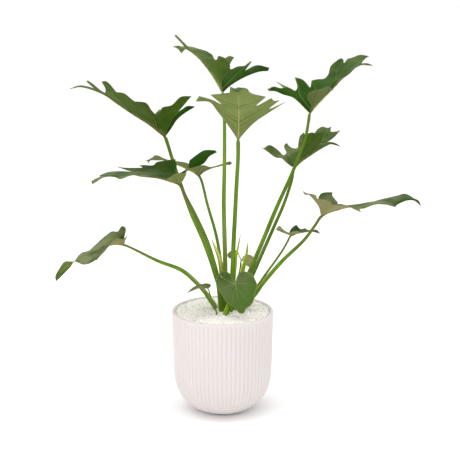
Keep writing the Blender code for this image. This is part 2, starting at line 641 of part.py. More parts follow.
# Leaf 9: low right, with a long ribbon of a tip
add_leaf(
    "leaf_9", (152, 312, -30),
    midrib=[(11, 6, -1), (26, 11, -3), (42, 15, -5), (62, 16, -8), (87, 22, -10), (116, 26, -14),
            (136, 28, -16), (147, 25, -18), (152, 16, -20)],
    near=[(-1, 7, -6), (-3, 15, -14), (-9, 24, -22), (-19, 34, -28), (-24, 34, -30),
          (-28, 40, -34, TIP), (-20, 36, -38), (-8, 34, -40, TIP), (-5, 28, -34), (9, 26, -45),
          (15, 23, -48, TIP), (18, 19, -40), (28, 18, -45), (42, 16, -20), (54, 10, -38),
          (62, 7, -48, TIP), (59, 12, -32), (66, 13, -36, TIP), (82, 19, -25), (97, 19, -38),
          (113, 15, -48, TIP), (116, 19, -36), (129, 25, -36), (141, 25, -30)],
    far=[(-1, 7, 8), (-3, 20, 28), (-4, 30, 40, TIP), (0, 36, 46), (15, 38, 55),
         (18, 37, 58, TIP), (17, 33, 50), (26, 22, 45, TIP), (26, 18, 30), (42, 17, 25),
         (60, 18, 36, TIP), (82, 24, 18), (98, 27, 36), (121, 34, 34, TIP), (127, 35, 26),
         (137, 31, 8)],
    stalk=[(144, 299, -29), (127, 275, -25), (95, 243, -19), (63, 205, -10), (50, 186, -6)],
    near_side=-1, radii=(4.2, 2.3), foot=(27, -6, 30, -6))

# Leaf 10: small, right, behind leaf 9's stalk
add_leaf(
    "leaf_10", (106, 282, 30),
    midrib=[(9, 3, 2), (19, 5, 5), (36, 7, 8), (47, 3, 10)],
    near=[(-8, 3, -6), (-16, 6, -12), (-24, 9, -20, TIP), (-22, 13, -20), (-18, 16, -18),
          (-14, 12, -15), (-6, 6, -10), (-1, 5, -8), (2, 6, -10), (9, 8, -26, TIP), (18, 5, -12),
          (30, 7, -24, TIP), (36, 6, -8)],
    far=[(-2, 6, 8), (4, 15, 24), (9, 18, 30, TIP), (11, 15, 24), (15, 11, 20), (23, 12, 28),
         (28, 9, 18), (40, 10, 26, TIP), (44, 7, 16)],
    stalk=[(102, 274, 29), (94, 259, 28), (72, 226, 24), (56, 202, 20)],
    near_side=-1, radii=(2.5, 1.7), foot=(35, 8, 37, 8), face_step=9.0, rib=1.0)

# Leaf 11: juvenile heart-shaped leaf hanging at the front
add_leaf(
    "leaf_11", (19, 206, -48),
    midrib=[(2, -8, -3), (4, -20, -6), (7, -31, -9), (11, -50, -14)],
    near=[(-2, 3, 2), (-4, 10, 5), (-8, 15, 7), (-13, 18, 8), (-17, 19, 7), (-22, 15, 5),
          (-26, 10, 2), (-29, 4, 0), (-28, -5, -2), (-25, -12, -3), (-21, -17, -4),
          (-17, -25, -5), (-12, -31, -7), (-6, -36, -9), (0, -41, -10), (3, -44, -12),
          (6, -48, -13)],
    far=[(2, 4, 2), (3, 9, 4), (6, 14, 6), (9, 17, 7), (14, 18, 7), (18, 17, 6), (24, 15, 5),
         (28, 12, 3), (31, 5, 1), (34, -2, -1), (33, -11, -3), (30, -20, -5), (30, -26, -7),
         (27, -33, -8), (23, -38, -10), (18, -40, -11), (16, -44, -12), (14, -49, -13)],
    stalk=[(17, 200, -36), (13, 184, -28)],
    near_side=-1, radii=(2.4, 1.6), foot=(8, -22, 8, -23), face_step=9.0, rib=0.8)

# Leaf 12: small, low left at the front
add_leaf(
    "leaf_12", (-23, 197, -33),
    midrib=[(-12, 3, -3), (-24, -2, -6), (-33, -8, -8)],
    near=[(3, 1, -6), (-4, 0, -14), (-14, 0, -18), (-24, -4, -16)],
    far=[(5, 4, 6), (0, 8, 14), (-12, 6, 16), (-24, 1, 8)],
    stalk=[(-20, 187, -31), (-15, 169, -28)],
    near_side=1, radii=(1.5, 0.9), foot=(-9, -25, -9, -26), face_step=7.0, rib=0.5)

# Leaves 13 and 14: two small round leaves at the back
add_leaf(
    "leaf_13", (25, 254, 45),
    midrib=[(-7, 0, 0), (-18, -4, 4)],
    near=[(-2, 3, -5), (-5, 5, -6), (-12, 4, -8), (-17, 0, -7)],
    far=[(-4, -6, 5), (-11, -9, 7), (-16, -8, 5)],
    stalk=[(26, 249, 45), (29, 243, 44), (28, 237, 44), (27, 227, 43)],
    near_side=1, radii=(1.4, 0.8), foot=(14, 32, 14, 33), face_step=7.0, rib=0.5)
add_leaf(
    "leaf_14", (30, 243, 52),
    midrib=[(7, -1, 0), (14, -2, 2), (21, -2, 3)],
    near=[(2, 6, -4), (5, 8, -6), (11, 9, -9), (15, 8, -9), (20, 4, -7)],
    far=[(3, -5, 3), (8, -10, 5), (13, -12, 5), (18, -9, 4)],
    stalk=[(29, 235, 51), (28, 225, 50)],
    near_side=-1, radii=(1.1, 0.6), foot=(23, 33, 23, 34), face_step=7.0, rib=0.5)


def add_shoot(name, tip, way, foot, radii):
    """A sheath shoot: a slender flattened spike."""
    low = Vector((foot[0], foot[1], SOIL_TOP + CLEARANCE))
    high = Vector((foot[0], foot[1], GRAVEL_TOP + STALK_RISE))
    path = [low, low.lerp(high, 0.8), high] + [seen(*p) for p in reversed(way)] + [seen(*tip)]
    sizes = [radii[0]] * 2 + [radii[1]] * 3 + [radii[1] * 0.62, 0.5]
    tube(name, SHOOT_GREEN, path, sizes, STALK_SIDES, STALK_STEP)
    STALKS.append((low, high, radii[0]))


add_shoot("shoot_1", (-17, 276, 12), [(-12, 264, 13), (-7, 251, 15), (-4, 241, 16),
                                      (-2, 226, 18)], (-4, 22), (3.4, 3.8))
add_shoot("shoot_2", (28, 284, 4), [(26, 273, 3), (23, 258, 1), (21, 245, 0), (17, 200, -2)],
          (12, 3), (2.4, 2.5))
add_shoot("shoot_3", (39, 270, 22), [(38, 259, 22), (36, 246, 23), (33, 234, 24), (31, 226, 25)],
          (24, 28), (3.4, 3.9))
add_shoot("shoot_4", (7, 172, -30), [(6, 164, -29)], (4, -28), (4.0, 3.9))

add_filling(STALKS)
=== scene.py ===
import math

import bpy
import numpy as np
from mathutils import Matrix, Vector
from mathutils.geometry import delaunay_2d_cdt


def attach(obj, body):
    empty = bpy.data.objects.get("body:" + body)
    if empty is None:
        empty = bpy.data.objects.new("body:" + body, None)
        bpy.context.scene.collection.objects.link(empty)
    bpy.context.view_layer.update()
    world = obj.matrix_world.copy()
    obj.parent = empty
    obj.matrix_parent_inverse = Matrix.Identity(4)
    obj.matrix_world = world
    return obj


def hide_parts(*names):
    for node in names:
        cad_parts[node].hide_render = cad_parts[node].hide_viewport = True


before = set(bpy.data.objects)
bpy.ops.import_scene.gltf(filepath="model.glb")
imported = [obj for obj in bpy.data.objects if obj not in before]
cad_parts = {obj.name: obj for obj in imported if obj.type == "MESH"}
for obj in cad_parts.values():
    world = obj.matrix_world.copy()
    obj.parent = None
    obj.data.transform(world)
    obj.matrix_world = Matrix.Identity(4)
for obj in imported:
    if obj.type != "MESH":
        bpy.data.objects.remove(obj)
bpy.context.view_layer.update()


# Floor, light and camera
# A wide pale floor under even white light, with a large soft lamp overhead and a weak cool one
# on the left, looked at a little from above.

MM = 0.001
EYE_PLACE = (11.6, -1600.0, 660.0)
EYE_PITCH = math.radians(13.0)
LENS = 82.8
SENSOR = 36.0
FLOOR_COLOUR = (0.96, 0.96, 0.96, 1.0)
FLOOR_ROUGHNESS = 0.9
FLOOR_HALF = 40.0
EVEN_LIGHT = 1.05

scene = bpy.context.scene
scene.view_settings.view_transform = "Standard"

camera_data = bpy.data.cameras.new("camera")
camera_data.lens = LENS
camera_data.sensor_width = SENSOR
camera = bpy.data.objects.new("camera", camera_data)
camera.location = [MM * c for c in EYE_PLACE]
camera.rotation_euler = (math.radians(90.0) - EYE_PITCH, 0.0, 0.0)
scene.collection.objects.link(camera)
scene.camera = camera


def new_material(name):
    """A node material, its tree and its Principled shader."""
    made = bpy.data.materials.new(name)
    made.use_nodes = True
    return made, made.node_tree, made.node_tree.nodes["Principled BSDF"]


floor_mesh = bpy.data.meshes.new("floor")
floor_mesh.from_pydata([(FLOOR_HALF * x, FLOOR_HALF * y, 0) for x, y in
                        ((-1, -1), (1, -1), (1, 1), (-1, 1))], [], [(0, 1, 2, 3)])
floor = bpy.data.objects.new("floor", floor_mesh)
scene.collection.objects.link(floor)
floor_look, _, shader = new_material("studio_floor")
shader.inputs["Base Color"].default_value = FLOOR_COLOUR
shader.inputs["Roughness"].default_value = FLOOR_ROUGHNESS
floor_mesh.materials.append(floor_look)

world = bpy.data.worlds.new("studio")
world.use_nodes = True
even_light = world.node_tree.nodes["Background"]
even_light.inputs["Color"].default_value = (1.0, 1.0, 1.0, 1.0)
even_light.inputs["Strength"].default_value = EVEN_LIGHT
scene.world = world


def add_lamp(name, place, aim, size, power, colour):
    """A square soft lamp at place, in metres, turned to face aim."""
    data = bpy.data.lights.new(name, "AREA")
    data.shape = "SQUARE"
    data.size = size
    data.energy = power
    data.color = colour
    lamp = bpy.data.objects.new(name, data)
    lamp.location = place
    lamp.rotation_euler = (Vector(aim) - Vector(place)).to_track_quat("-Z", "Y").to_euler()
    scene.collection.objects.link(lamp)


add_lamp("overhead", place=(-0.3, -0.1, 2.4), aim=(0.0, 0.0, 0.3), size=1.6, power=30.0,
         colour=(1.0, 1.0, 1.0))
add_lamp("left_fill", place=(-1.8, -1.3, 1.1), aim=(0.0, 0.0, 0.2), size=1.2, power=4.5,
         colour=(0.96, 0.96, 1.0))


# Planter
# Cast ceramic with a soft matt glaze: about seventy upright flutes, round on top and narrow
# between, which die away on the big rounded foot and stop under a plain rolled lip.

FLUTE_COUNT = 70
FLUTES = {"Count": float(FLUTE_COUNT), "Depth": 1.3 * MM, "Narrowing": 1.7, "Start": 3.0 * MM,
          "Run Out": 30.0 * MM, "Top": 156.0 * MM, "Top Fade": 4.0 * MM,
          "Foot Inside": 40.0 * MM, "Foot Height": 40.0 * MM, "Wall Inside": 74.2 * MM}
POT_OUTSIDE = [(33.0, 0.0), (36.0, 0.5), (44.0, 3.4), (54.0, 9.4), (62.5, 18.0), (69.8, 28.4),
               (74.5, 40.0), (77.4, 56.0), (78.9, 95.0), (80.0, 151.5), (80.2, 158.5)]
POT_LIP = [(80.2, 158.5), (79.9, 160.4), (78.9, 161.6), (77.3, 162.0), (75.6, 161.7),
           (74.5, 160.8), (73.9, 159.0)]
POT_INSIDE = [(73.9, 159.0), (73.2, 110.0), (71.0, 60.0), (62.0, 33.0), (48.0, 18.0), (30.0, 9.0)]
OUTSIDE_STEP = 3.2
LIP_STEP = 0.9
INSIDE_STEP = 14.0
POT_TURNS = FLUTE_COUNT * 8
GLAZE_LIGHT = (0.712, 0.66, 0.642)
GLAZE_DARK = (0.692, 0.637, 0.618)
GROOVE_PAINTED_SHADE = (0.62, 0.575, 0.565)
PINHOLE_BROWN = (0.5, 0.42, 0.38)


def feed(tree, socket, value):
    """Links another node's output to a socket, or sets the socket's own value."""
    if isinstance(value, bpy.types.NodeSocket):
        tree.links.new(value, socket)
    elif socket.type == "RGBA":
        socket.default_value = (*value, 1.0)
    else:
        socket.default_value = value


def add_node(tree, kind, feeds=(), **settings):
    """A new node's outputs; feeds pairs its inputs with values or with other nodes' outputs."""
    made = tree.nodes.new(kind)
    for key, value in settings.items():
        setattr(made, key, value)
    for socket, value in dict(feeds).items():
        feed(tree, made.inputs[socket], value)
    return made.outputs


def maths(tree, operation, *values, clamped=False):
    return add_node(tree, "ShaderNodeMath", enumerate(values), operation=operation,
                    use_clamp=clamped)[0]


def scaled(tree, vector, factor):
    return add_node(tree, "ShaderNodeVectorMath", {0: vector, "Scale": factor},
                    operation="SCALE")[0]


def ramp(tree, value, low, high, to_low=0.0, to_high=1.0, kind="SMOOTHSTEP"):
    """to_low where value is low, to_high where it is high, and between them in between."""
    return add_node(tree, "ShaderNodeMapRange",
                    {"Value": value, "From Min": low, "From Max": high, "To Min": to_low,
                     "To Max": to_high}, interpolation_type=kind)["Result"]


def noise(tree, place, scale, detail):
    return add_node(tree, "ShaderNodeTexNoise", {"Vector": place, "Scale": scale,
                                                 "Detail": detail})["Fac"]


def cells(tree, place, scale):
    return add_node(tree, "ShaderNodeTexVoronoi", {"Vector": place, "Scale": scale})["Distance"]


def attribute(tree, name):
    return add_node(tree, "ShaderNodeAttribute", attribute_name=name)["Fac"]


def object_place(tree, along=1.0):
    """Object coordinates; a low along draws a pattern out lengthways."""
    place = add_node(tree, "ShaderNodeTexCoord")["Object"]
    return add_node(tree, "ShaderNodeMapping", {"Vector": place, "Scale": (1.0, 1.0, along)})[0]


def blended(tree, amount, low, high):
    """The colour low where amount is 0, high where it is 1."""
    return add_node(tree, "ShaderNodeMix", {0: amount, 6: low, 7: high}, data_type="RGBA")[2]


def coated(tree, base, *coats):
    """Lays colours over base in turn, each up to its share as a mask goes from low to high."""
    for colour, mask, low, high, share in coats:
        base = blended(tree, ramp(tree, mask, low, high, 0.0, share), base, colour)
    return base


def new_tree(kind, name, takes, gives):
    """A node group of its own with named sockets, and the sockets of its two ends."""
    tree = bpy.data.node_groups.new(name, kind)
    for way, sockets in (("INPUT", takes), ("OUTPUT", gives)):
        for label, sort in sockets.items():
            tree.interface.new_socket(label, in_out=way, socket_type="NodeSocket" + sort)
    return tree, tree.nodes.new("NodeGroupInput").outputs, tree.nodes.new("NodeGroupOutput").inputs


drift, takes, gives = new_tree(
    "ShaderNodeTree", "colour_drift",
    {"Vector": "Vector", "Light": "Color", "Dark": "Color", "Scale": "Float",
     "Speck Scale": "Float", "Speck": "Float"}, {"Color": "Color", "Height": "Float"})
clouds = ramp(drift, noise(drift, takes["Vector"], takes["Scale"], 4.0), 0.32, 0.68, kind="LINEAR")
grain = noise(drift, takes["Vector"], takes["Speck Scale"], 2.0)
lightness = maths(drift, "MULTIPLY_ADD", maths(drift, "SUBTRACT", grain, 0.5), takes["Speck"], clouds,
                  clamped=True)
drift.links.new(blended(drift, lightness, takes["Dark"], takes["Light"]), gives["Color"])
drift.links.new(grain, gives["Height"])


def drifting(tree, place, light, dark, scale, speck_scale, speck):
    """The colour that drifts from light to dark in clouds and specks, and its grain's height."""
    return add_node(tree, "ShaderNodeGroup",
                    {"Vector": place, "Light": light, "Dark": dark, "Scale": scale,
                     "Speck Scale": speck_scale, "Speck": speck}, node_tree=drift)


def bumped(tree, shader, height, strength, distance):
    bump = add_node(tree, "ShaderNodeBump", {"Height": height, "Strength": strength,
                                             "Distance": distance})
    tree.links.new(bump["Normal"], shader.inputs["Normal"])


def surfaced(tree, shader, colour, tone, roughness, bump):
    """Gives a shader its colour, roughness and bump, the last two after the tone's grain."""
    feed(tree, shader.inputs["Base Color"], colour)
    feed(tree, shader.inputs["Roughness"], ramp(tree, tone["Height"], 0.2, 0.8, *roughness))
    bumped(tree, shader, tone["Height"], *bump)


def curve(points, step):
    """A centripetal Catmull-Rom curve through points, sampled about every step, ends kept."""
    points = [np.array(p, float) for p in points]
    if len(points) == 2:
        count = max(1, round(float(np.linalg.norm(points[1] - points[0])) / step))
        return [points[0] + (points[1] - points[0]) * i / count for i in range(count)] + [points[1]]
    padded = [2 * points[0] - points[1]] + points + [2 * points[-1] - points[-2]]
    out = []
    for a, b, c, d in zip(padded, padded[1:], padded[2:], padded[3:]):
        gaps = [max(float(np.linalg.norm(q - p)), 1e-6) ** 0.5 for p, q in ((a, b), (b, c), (c, d))]
        k0, k1, k2, k3 = np.cumsum([0.0] + gaps)
        count = max(1, round(float(np.linalg.norm(c - b)) / step))
        for i in range(count):
            t = k1 + (k2 - k1) * i / count
            ab = a * (k1 - t) / (k1 - k0) + b * (t - k0) / (k1 - k0)
            bc = b * (k2 - t) / (k2 - k1) + c * (t - k1) / (k2 - k1)
            cd = c * (k3 - t) / (k3 - k2) + d * (t - k2) / (k3 - k2)
            abc = ab * (k2 - t) / (k2 - k0) + bc * (t - k0) / (k2 - k0)
            bcd = bc * (k3 - t) / (k3 - k1) + cd * (t - k1) / (k3 - k1)
            out.append(abc * (k2 - t) / (k2 - k1) + bcd * (t - k1) / (k2 - k1))
    return out + [points[-1]]


def ring(radius, height, sides):
    """Points all round the pot's axis."""
    turns = [2 * math.pi * i / sides for i in range(sides)]
    return [(radius * math.cos(turn), radius * math.sin(turn), height) for turn in turns]


def tube(rings, sides):
    """The faces of a closed tube through rings of points, listed ring by ring."""
    faces = []
    for low in range(0, (rings - 1) * sides, sides):
        for i in range(sides):
            j = (i + 1) % sides
            faces.append((low + i, low + j, low + sides + j, low + sides + i))
    last = (rings - 1) * sides
    return faces + [tuple(reversed(range(sides))), tuple(range(last, last + sides))]


def mesh_object(name, points, faces, look, smooth=True):
    """A piece from points in millimetres."""
    mesh = bpy.data.meshes.new(name)
    mesh.from_pydata([tuple(float(MM * c) for c in p) for p in points], [], faces)
    mesh.materials.append(look)
    if smooth:
        mesh.shade_smooth()
    made = bpy.data.objects.new(name, mesh)
    scene.collection.objects.link(made)
    return made


def new_geometry_tree(name, values):
    """A geometry tree with an input for each of the values, of that value's name and sort."""
    sorts = {float: "Float", int: "Int", bpy.types.Material: "Material"}
    takes = {label: sorts[type(value)] for label, value in values.items()}
    return new_tree("GeometryNodeTree", name, {"Geometry": "Geometry", **takes},
                    {"Geometry": "Geometry"})


def store(tree, geometry, label, value, domain="POINT"):
    """Keeps a number on the geometry, for the material to read."""
    return add_node(tree, "GeometryNodeStoreNamedAttribute",
                    {"Geometry": geometry, "Name": label, "Value": value},
                    data_type="FLOAT", domain=domain)[0]


def move(tree, geometry, offset):
    return add_node(tree, "GeometryNodeSetPosition", {"Geometry": geometry, "Offset": offset})[0]


def end_tree(tree, geometry, look, gives):
    """Makes what is left of instances real and gives the whole its material."""
    whole = add_node(tree, "GeometryNodeRealizeInstances", {"Geometry": geometry})[0]
    dressed = add_node(tree, "GeometryNodeSetMaterial", {"Geometry": whole, "Material": look})[0]
    tree.links.new(dressed, gives["Geometry"])


def run_tree(blank, tree, values, name):
    """Puts a geometry tree on a blank, its inputs set by identifier, and keeps the plain result."""
    modifier = blank.modifiers.new(tree.name, "NODES")
    modifier.node_group = tree
    for item in tree.interface.items_tree:
        if item.in_out == "INPUT" and item.name in values:
            modifier[item.identifier] = values[item.name]
    result = bpy.data.meshes.new_from_object(
        blank.evaluated_get(bpy.context.evaluated_depsgraph_get()))
    result.name = name
    made = bpy.data.objects.new(name, result)
    scene.collection.objects.link(made)
    bpy.data.objects.remove(blank)
    return made


glaze, tree, shader = new_material("pot_ceramic_fine")
place = object_place(tree)
tone = drifting(tree, place, GLAZE_LIGHT, GLAZE_DARK, scale=14.0, speck_scale=900.0, speck=0.35)
# Painted shade greys the glaze down in the flutes' grooves.
glazed = coated(tree, tone["Color"],
                (GROOVE_PAINTED_SHADE, attribute(tree, "groove"), 0.3, 0.95, 0.5),
                (PINHOLE_BROWN, cells(tree, place, 230.0), 0.07, 0.02, 0.3))
surfaced(tree, shader, glazed, tone, roughness=(0.46, 0.62), bump=(0.12, 0.0004))

profile = []
for outline, step in ((POT_OUTSIDE, OUTSIDE_STEP), (POT_LIP, LIP_STEP), (POT_INSIDE, INSIDE_STEP)):
    profile = profile[:-1] + curve(outline, step)
points = []
for radius, height in profile:
    points += ring(radius, height, POT_TURNS)
pot_blank = mesh_object("pot_blank", points, tube(len(profile), POT_TURNS), glaze)

flute_values = {**FLUTES, "Glaze": glaze}
flutes, takes, gives = new_geometry_tree("pot_flutes", flute_values)
at = add_node(flutes, "ShaderNodeSeparateXYZ", {0: add_node(flutes, "GeometryNodeInputPosition")[0]})
turn = maths(flutes, "ARCTAN2", at["Y"], at["X"])
wave = maths(flutes, "COSINE", maths(flutes, "MULTIPLY", turn, takes["Count"]))
valley = maths(flutes, "POWER", ramp(flutes, wave, 1.0, -1.0, kind="LINEAR"), takes["Narrowing"])
run_out = maths(flutes, "ADD", takes["Start"], takes["Run Out"])
top_end = maths(flutes, "ADD", takes["Top"], takes["Top Fade"])
level = add_node(flutes, "ShaderNodeCombineXYZ", {"X": at["X"], "Y": at["Y"]})[0]
radius = add_node(flutes, "ShaderNodeVectorMath", {0: level}, operation="LENGTH")["Value"]
# Only what stands farther out than this line through foot and wall is the pot's outer face.
inner_line = ramp(flutes, at["Z"], 0.0, takes["Foot Height"], takes["Foot Inside"],
                  takes["Wall Inside"], kind="LINEAR")
groove = valley
for factor in (ramp(flutes, at["Z"], takes["Start"], run_out),
               ramp(flutes, at["Z"], top_end, takes["Top"]),
               maths(flutes, "GREATER_THAN", radius, inner_line)):
    groove = maths(flutes, "MULTIPLY", groove, factor)
outward = add_node(flutes, "ShaderNodeVectorMath", {0: level}, operation="NORMALIZE")[0]
cut = maths(flutes, "MULTIPLY", maths(flutes, "MULTIPLY", groove, takes["Depth"]), -1.0)
fluted = move(flutes, store(flutes, takes["Geometry"], "groove", groove),
              scaled(flutes, outward, cut))
end_tree(flutes, fluted, takes["Glaze"], gives)
planter = run_tree(pot_blank, flutes, flute_values, "planter")
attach(planter, "root")
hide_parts("pot")


# Potting mix
# Dark peaty compost with bark and perlite, filled in round the crown once it is set in the pot.
# The gravel hides it, so it is the carried-over solid with a finish of its own.

PEAT_LIGHT = (0.10, 0.065, 0.04)
PEAT_DARK = (0.03, 0.02, 0.012)
PERLITE_WHITE = (0.7, 0.68, 0.62)


def dress(node, look):
    """Gives a carried-over solid its procedural material in place of the plain one."""
    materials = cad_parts[node].data.materials
    materials.clear()
    materials.append(look)


compost, tree, shader = new_material("potting_mix_fine")
place = object_place(tree)
tone = drifting(tree, place, PEAT_LIGHT, PEAT_DARK, scale=90.0, speck_scale=700.0, speck=0.8)
specked = coated(tree, tone["Color"], (PERLITE_WHITE, cells(tree, place, 320.0), 0.10, 0.06, 1.0))
surfaced(tree, shader, specked, tone, roughness=(0.85, 1.0), bump=(0.6, 0.002))
dress("potting_mix", compost)


# Crown
# The short fibrous stem that every leaf stalk grows from, sunk in the potting mix. It too is
# hidden, and is the carried-over solid with a bark of its own.

BARK_LIGHT = (0.30, 0.27, 0.10)
BARK_DARK = (0.11, 0.08, 0.04)

bark, tree, shader = new_material("crown_bark_fine")
tone = drifting(tree, object_place(tree, along=0.12), BARK_LIGHT, BARK_DARK, scale=160.0,
                speck_scale=900.0, speck=0.6)
surfaced(tree, shader, tone["Color"], tone, roughness=(0.7, 0.9), bump=(0.5, 0.001))
dress("crown", bark)


# Marble gravel
# Crushed white marble, chips of one to five millimetres with a few grey, buff and rusty ones,
# poured loose over the soil and heaped a little round the stalks.

GRAVEL_TOP = 160.0
GRAVEL_EDGE = 0.4
GRAVEL_EDGE_WIDTH = 12.0
GRAVEL_RADIUS = 73.3
GRAVEL_MOUND = 2.0
GRAVEL_MOUND_RADIUS = 60.0
GRAVEL_SINK = 1.1
GRAVEL_FLOOR = 140.6
BED_RINGS = 24
BED_SIDES = 96
CHIPS = {"Density": 230000.0, "Size": 3.6 * MM, "Lowest": -0.4 * MM, "Highest": 1.3 * MM,
         "Break": 1.6 * MM, "Break Scale": 420.0, "Seed": 5}
CHIP_LEAST = (0.5, 0.42, 0.35)
CHIP_MOST = (1.45, 1.1, 0.85)
CHIP_TURN = (6.283, 6.283, 6.283)
MARBLE_LIGHT = (1.0, 0.975, 0.95)
MARBLE_DARK = (0.97, 0.935, 0.905)
CHIP_GREY = (0.87, 0.845, 0.82)
CHIP_BUFF = (0.90, 0.79, 0.68)
CHIP_RUST = (0.80, 0.66, 0.55)
BED_WHITE = (1.0, 0.965, 0.935)


def gravel_height(radius):
    """How high the gravel lies at a distance from the pot's axis."""
    heap = GRAVEL_MOUND * max(0.0, 1.0 - (radius / GRAVEL_MOUND_RADIUS) ** 2)
    drop = GRAVEL_EDGE * min(1.0, max(0.0, (radius - GRAVEL_MOUND_RADIUS) / GRAVEL_EDGE_WIDTH))
    return GRAVEL_TOP + heap - drop


marble, tree, shader = new_material("marble_gravel_fine")
tint = attribute(tree, "tint")
tone = drifting(tree, object_place(tree), MARBLE_LIGHT, MARBLE_DARK, scale=260.0,
                speck_scale=1500.0, speck=0.5)
mixed = coated(tree, tone["Color"], (CHIP_GREY, tint, 0.88, 0.91, 1.0),
               (CHIP_BUFF, tint, 0.95, 0.96, 1.0), (CHIP_RUST, tint, 0.985, 0.988, 1.0))
surfaced(tree, shader, blended(tree, attribute(tree, "bed"), mixed, BED_WHITE), tone,
         roughness=(0.5, 0.75), bump=(0.25, 0.0004))

points = [(0.0, 0.0, gravel_height(0.0) - GRAVEL_SINK)]
for row in range(1, BED_RINGS + 1):
    radius = GRAVEL_RADIUS * row / BED_RINGS
    points += ring(radius, gravel_height(radius) - GRAVEL_SINK, BED_SIDES)
points += ring(GRAVEL_RADIUS, GRAVEL_FLOOR, BED_SIDES)
faces = [(0, 1 + i, 1 + (i + 1) % BED_SIDES) for i in range(BED_SIDES)]
for low in range(1, 1 + BED_RINGS * BED_SIDES, BED_SIDES):
    for i in range(BED_SIDES):
        j = (i + 1) % BED_SIDES
        faces.append((low + i, low + BED_SIDES + i, low + BED_SIDES + j, low + j))
faces.append(tuple(reversed(range(len(points) - BED_SIDES, len(points)))))
gravel_bed = mesh_object("gravel_bed", points, faces, marble, smooth=False)


def any_vector(tree, low, high, seed):
    return add_node(tree, "FunctionNodeRandomValue", {0: low, 1: high, "Seed": seed},
                    data_type="FLOAT_VECTOR")[0]


def any_number(tree, low, high, seed):
    return add_node(tree, "FunctionNodeRandomValue", {2: low, 3: high, "Seed": seed},
                    data_type="FLOAT")[1]


chip_values = {**CHIPS, "Marble": marble}
chips, takes, gives = new_geometry_tree("marble_chips", chip_values)
# Chips lie on the bed's top alone, not on its side or its floor.
facing = add_node(chips, "ShaderNodeSeparateXYZ", {0: add_node(chips, "GeometryNodeInputNormal")[0]})
strewn = add_node(chips, "GeometryNodeDistributePointsOnFaces",
                  {"Mesh": takes["Geometry"],
                   "Selection": maths(chips, "GREATER_THAN", facing["Z"], 0.5),
                   "Density": takes["Density"], "Seed": takes["Seed"]})["Points"]
ball = add_node(chips, "GeometryNodeMeshIcoSphere", {"Radius": 0.5, "Subdivisions": 1})["Mesh"]
any_turn = any_vector(chips, (0.0, 0.0, 0.0), CHIP_TURN, 1)
any_size = scaled(chips, any_vector(chips, CHIP_LEAST, CHIP_MOST, 2), takes["Size"])
placed = add_node(chips, "GeometryNodeInstanceOnPoints",
                  {"Points": strewn, "Instance": ball, "Rotation": any_turn,
                   "Scale": any_size})[0]
any_lift = any_number(chips, takes["Lowest"], takes["Highest"], 3)
lifted = add_node(chips, "GeometryNodeTranslateInstances",
                  {"Instances": placed, "Local Space": False,
                   "Translation": add_node(chips, "ShaderNodeCombineXYZ", {"Z": any_lift})[0]})[0]
tinted = store(chips, lifted, "tint", any_number(chips, 0.0, 1.0, 4), domain="INSTANCE")
loose = add_node(chips, "GeometryNodeRealizeInstances", {"Geometry": tinted})[0]
# A noise in space pushes each chip's corners about, so that it looks broken and not rolled.
jags = add_node(chips, "ShaderNodeTexNoise", {"Scale": takes["Break Scale"], "Detail": 0.0})
both_ways = add_node(chips, "ShaderNodeVectorMath", {0: jags["Color"], 1: (0.5, 0.5, 0.5)},
                     operation="SUBTRACT")[0]
broken = move(chips, loose, scaled(chips, both_ways, takes["Break"]))
heap = chips.nodes.new("GeometryNodeJoinGeometry")
for part in (broken, store(chips, takes["Geometry"], "bed", 1.0)):
    chips.links.new(part, heap.inputs[0])
end_tree(chips, heap.outputs[0], takes["Marble"], gives)
gravel = run_tree(gravel_bed, chips, chip_values, "marble_chips")
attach(gravel, "root")
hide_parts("gravel")


# Leaf blades
# Thin leathery leaves cut into blunt lobes, dark green and faintly glossy on top, paler olive
# below. Each folds upward along its midrib like a keel, with a side vein out to every lobe.

EYE = Vector(EYE_PLACE)
TIP = 1
BLADE_THICKNESS = 0.55
RIM_STEP = 3.0
SPINE_STEP = 3.9
FACE_STEP = 3.3
SHEET_SCALE = 50.0
SHEET_EASE = 2e-5
QUILT = 1.0
QUILT_REACH = 5.5
VEIN_RIDGE = 0.25
VEIN_WIDTH = 0.8
VEIN_SLANTS = (0.75, 0.9, 0.6, 0.45, 1.05, 0.3)
VEIN_LEAST = 0.4
VEIN_BEND = (0.42, 0.52)
RIM_CLEAR = 0.9
LOBE_LEAST = 10.0
PLAIN_VEINS = (0.16, 0.32, 0.5, 0.66, 0.8)
PLAIN_VEIN_GAP = 0.09
PLAIN_VEIN_REACH = 0.93
FINE_VEIN_SPACING = 4.4
RIB_WIDTH = 1.2
RIB_HEIGHT = 1.5
STALK_TUCK = 9.0
FAR_AWAY = 40.0
SMALL_LEAF = {"step": 2.0, "rib": 0.6}
JOINTS = {}

TOP_LIGHT, TOP_DARK = (0.025, 0.073, 0.004), (0.009, 0.039, 0.001)
YOUNG_LIGHT, YOUNG_DARK = (0.066, 0.134, 0.023), (0.041, 0.094, 0.011)
JOINT_PAINTED_SHADE = (0.006, 0.034, 0.000)
PAINTED_SHEEN = (0.17, 0.19, 0.082)
TOP_FINE_VEIN = (0.30, 0.40, 0.14)
TOP_VEIN = (0.26, 0.33, 0.15)
TOP_RIB = (0.20, 0.32, 0.08)
BROWN_VEIN = (0.25, 0.235, 0.065)
RIB_YELLOW, RIB_BROWN = (0.42, 0.45, 0.12), (0.30, 0.215, 0.07)
RIB_STRIP = (0.27, 0.30, 0.13)
YOUNG_UNDER = (0.42, 0.41, 0.21)
BLACK_PAINTED_SHADE = (0.0, 0.0, 0.0)
RIM_GREEN = (0.26, 0.30, 0.09)
SCAR_BUFF = (0.50, 0.38, 0.25)

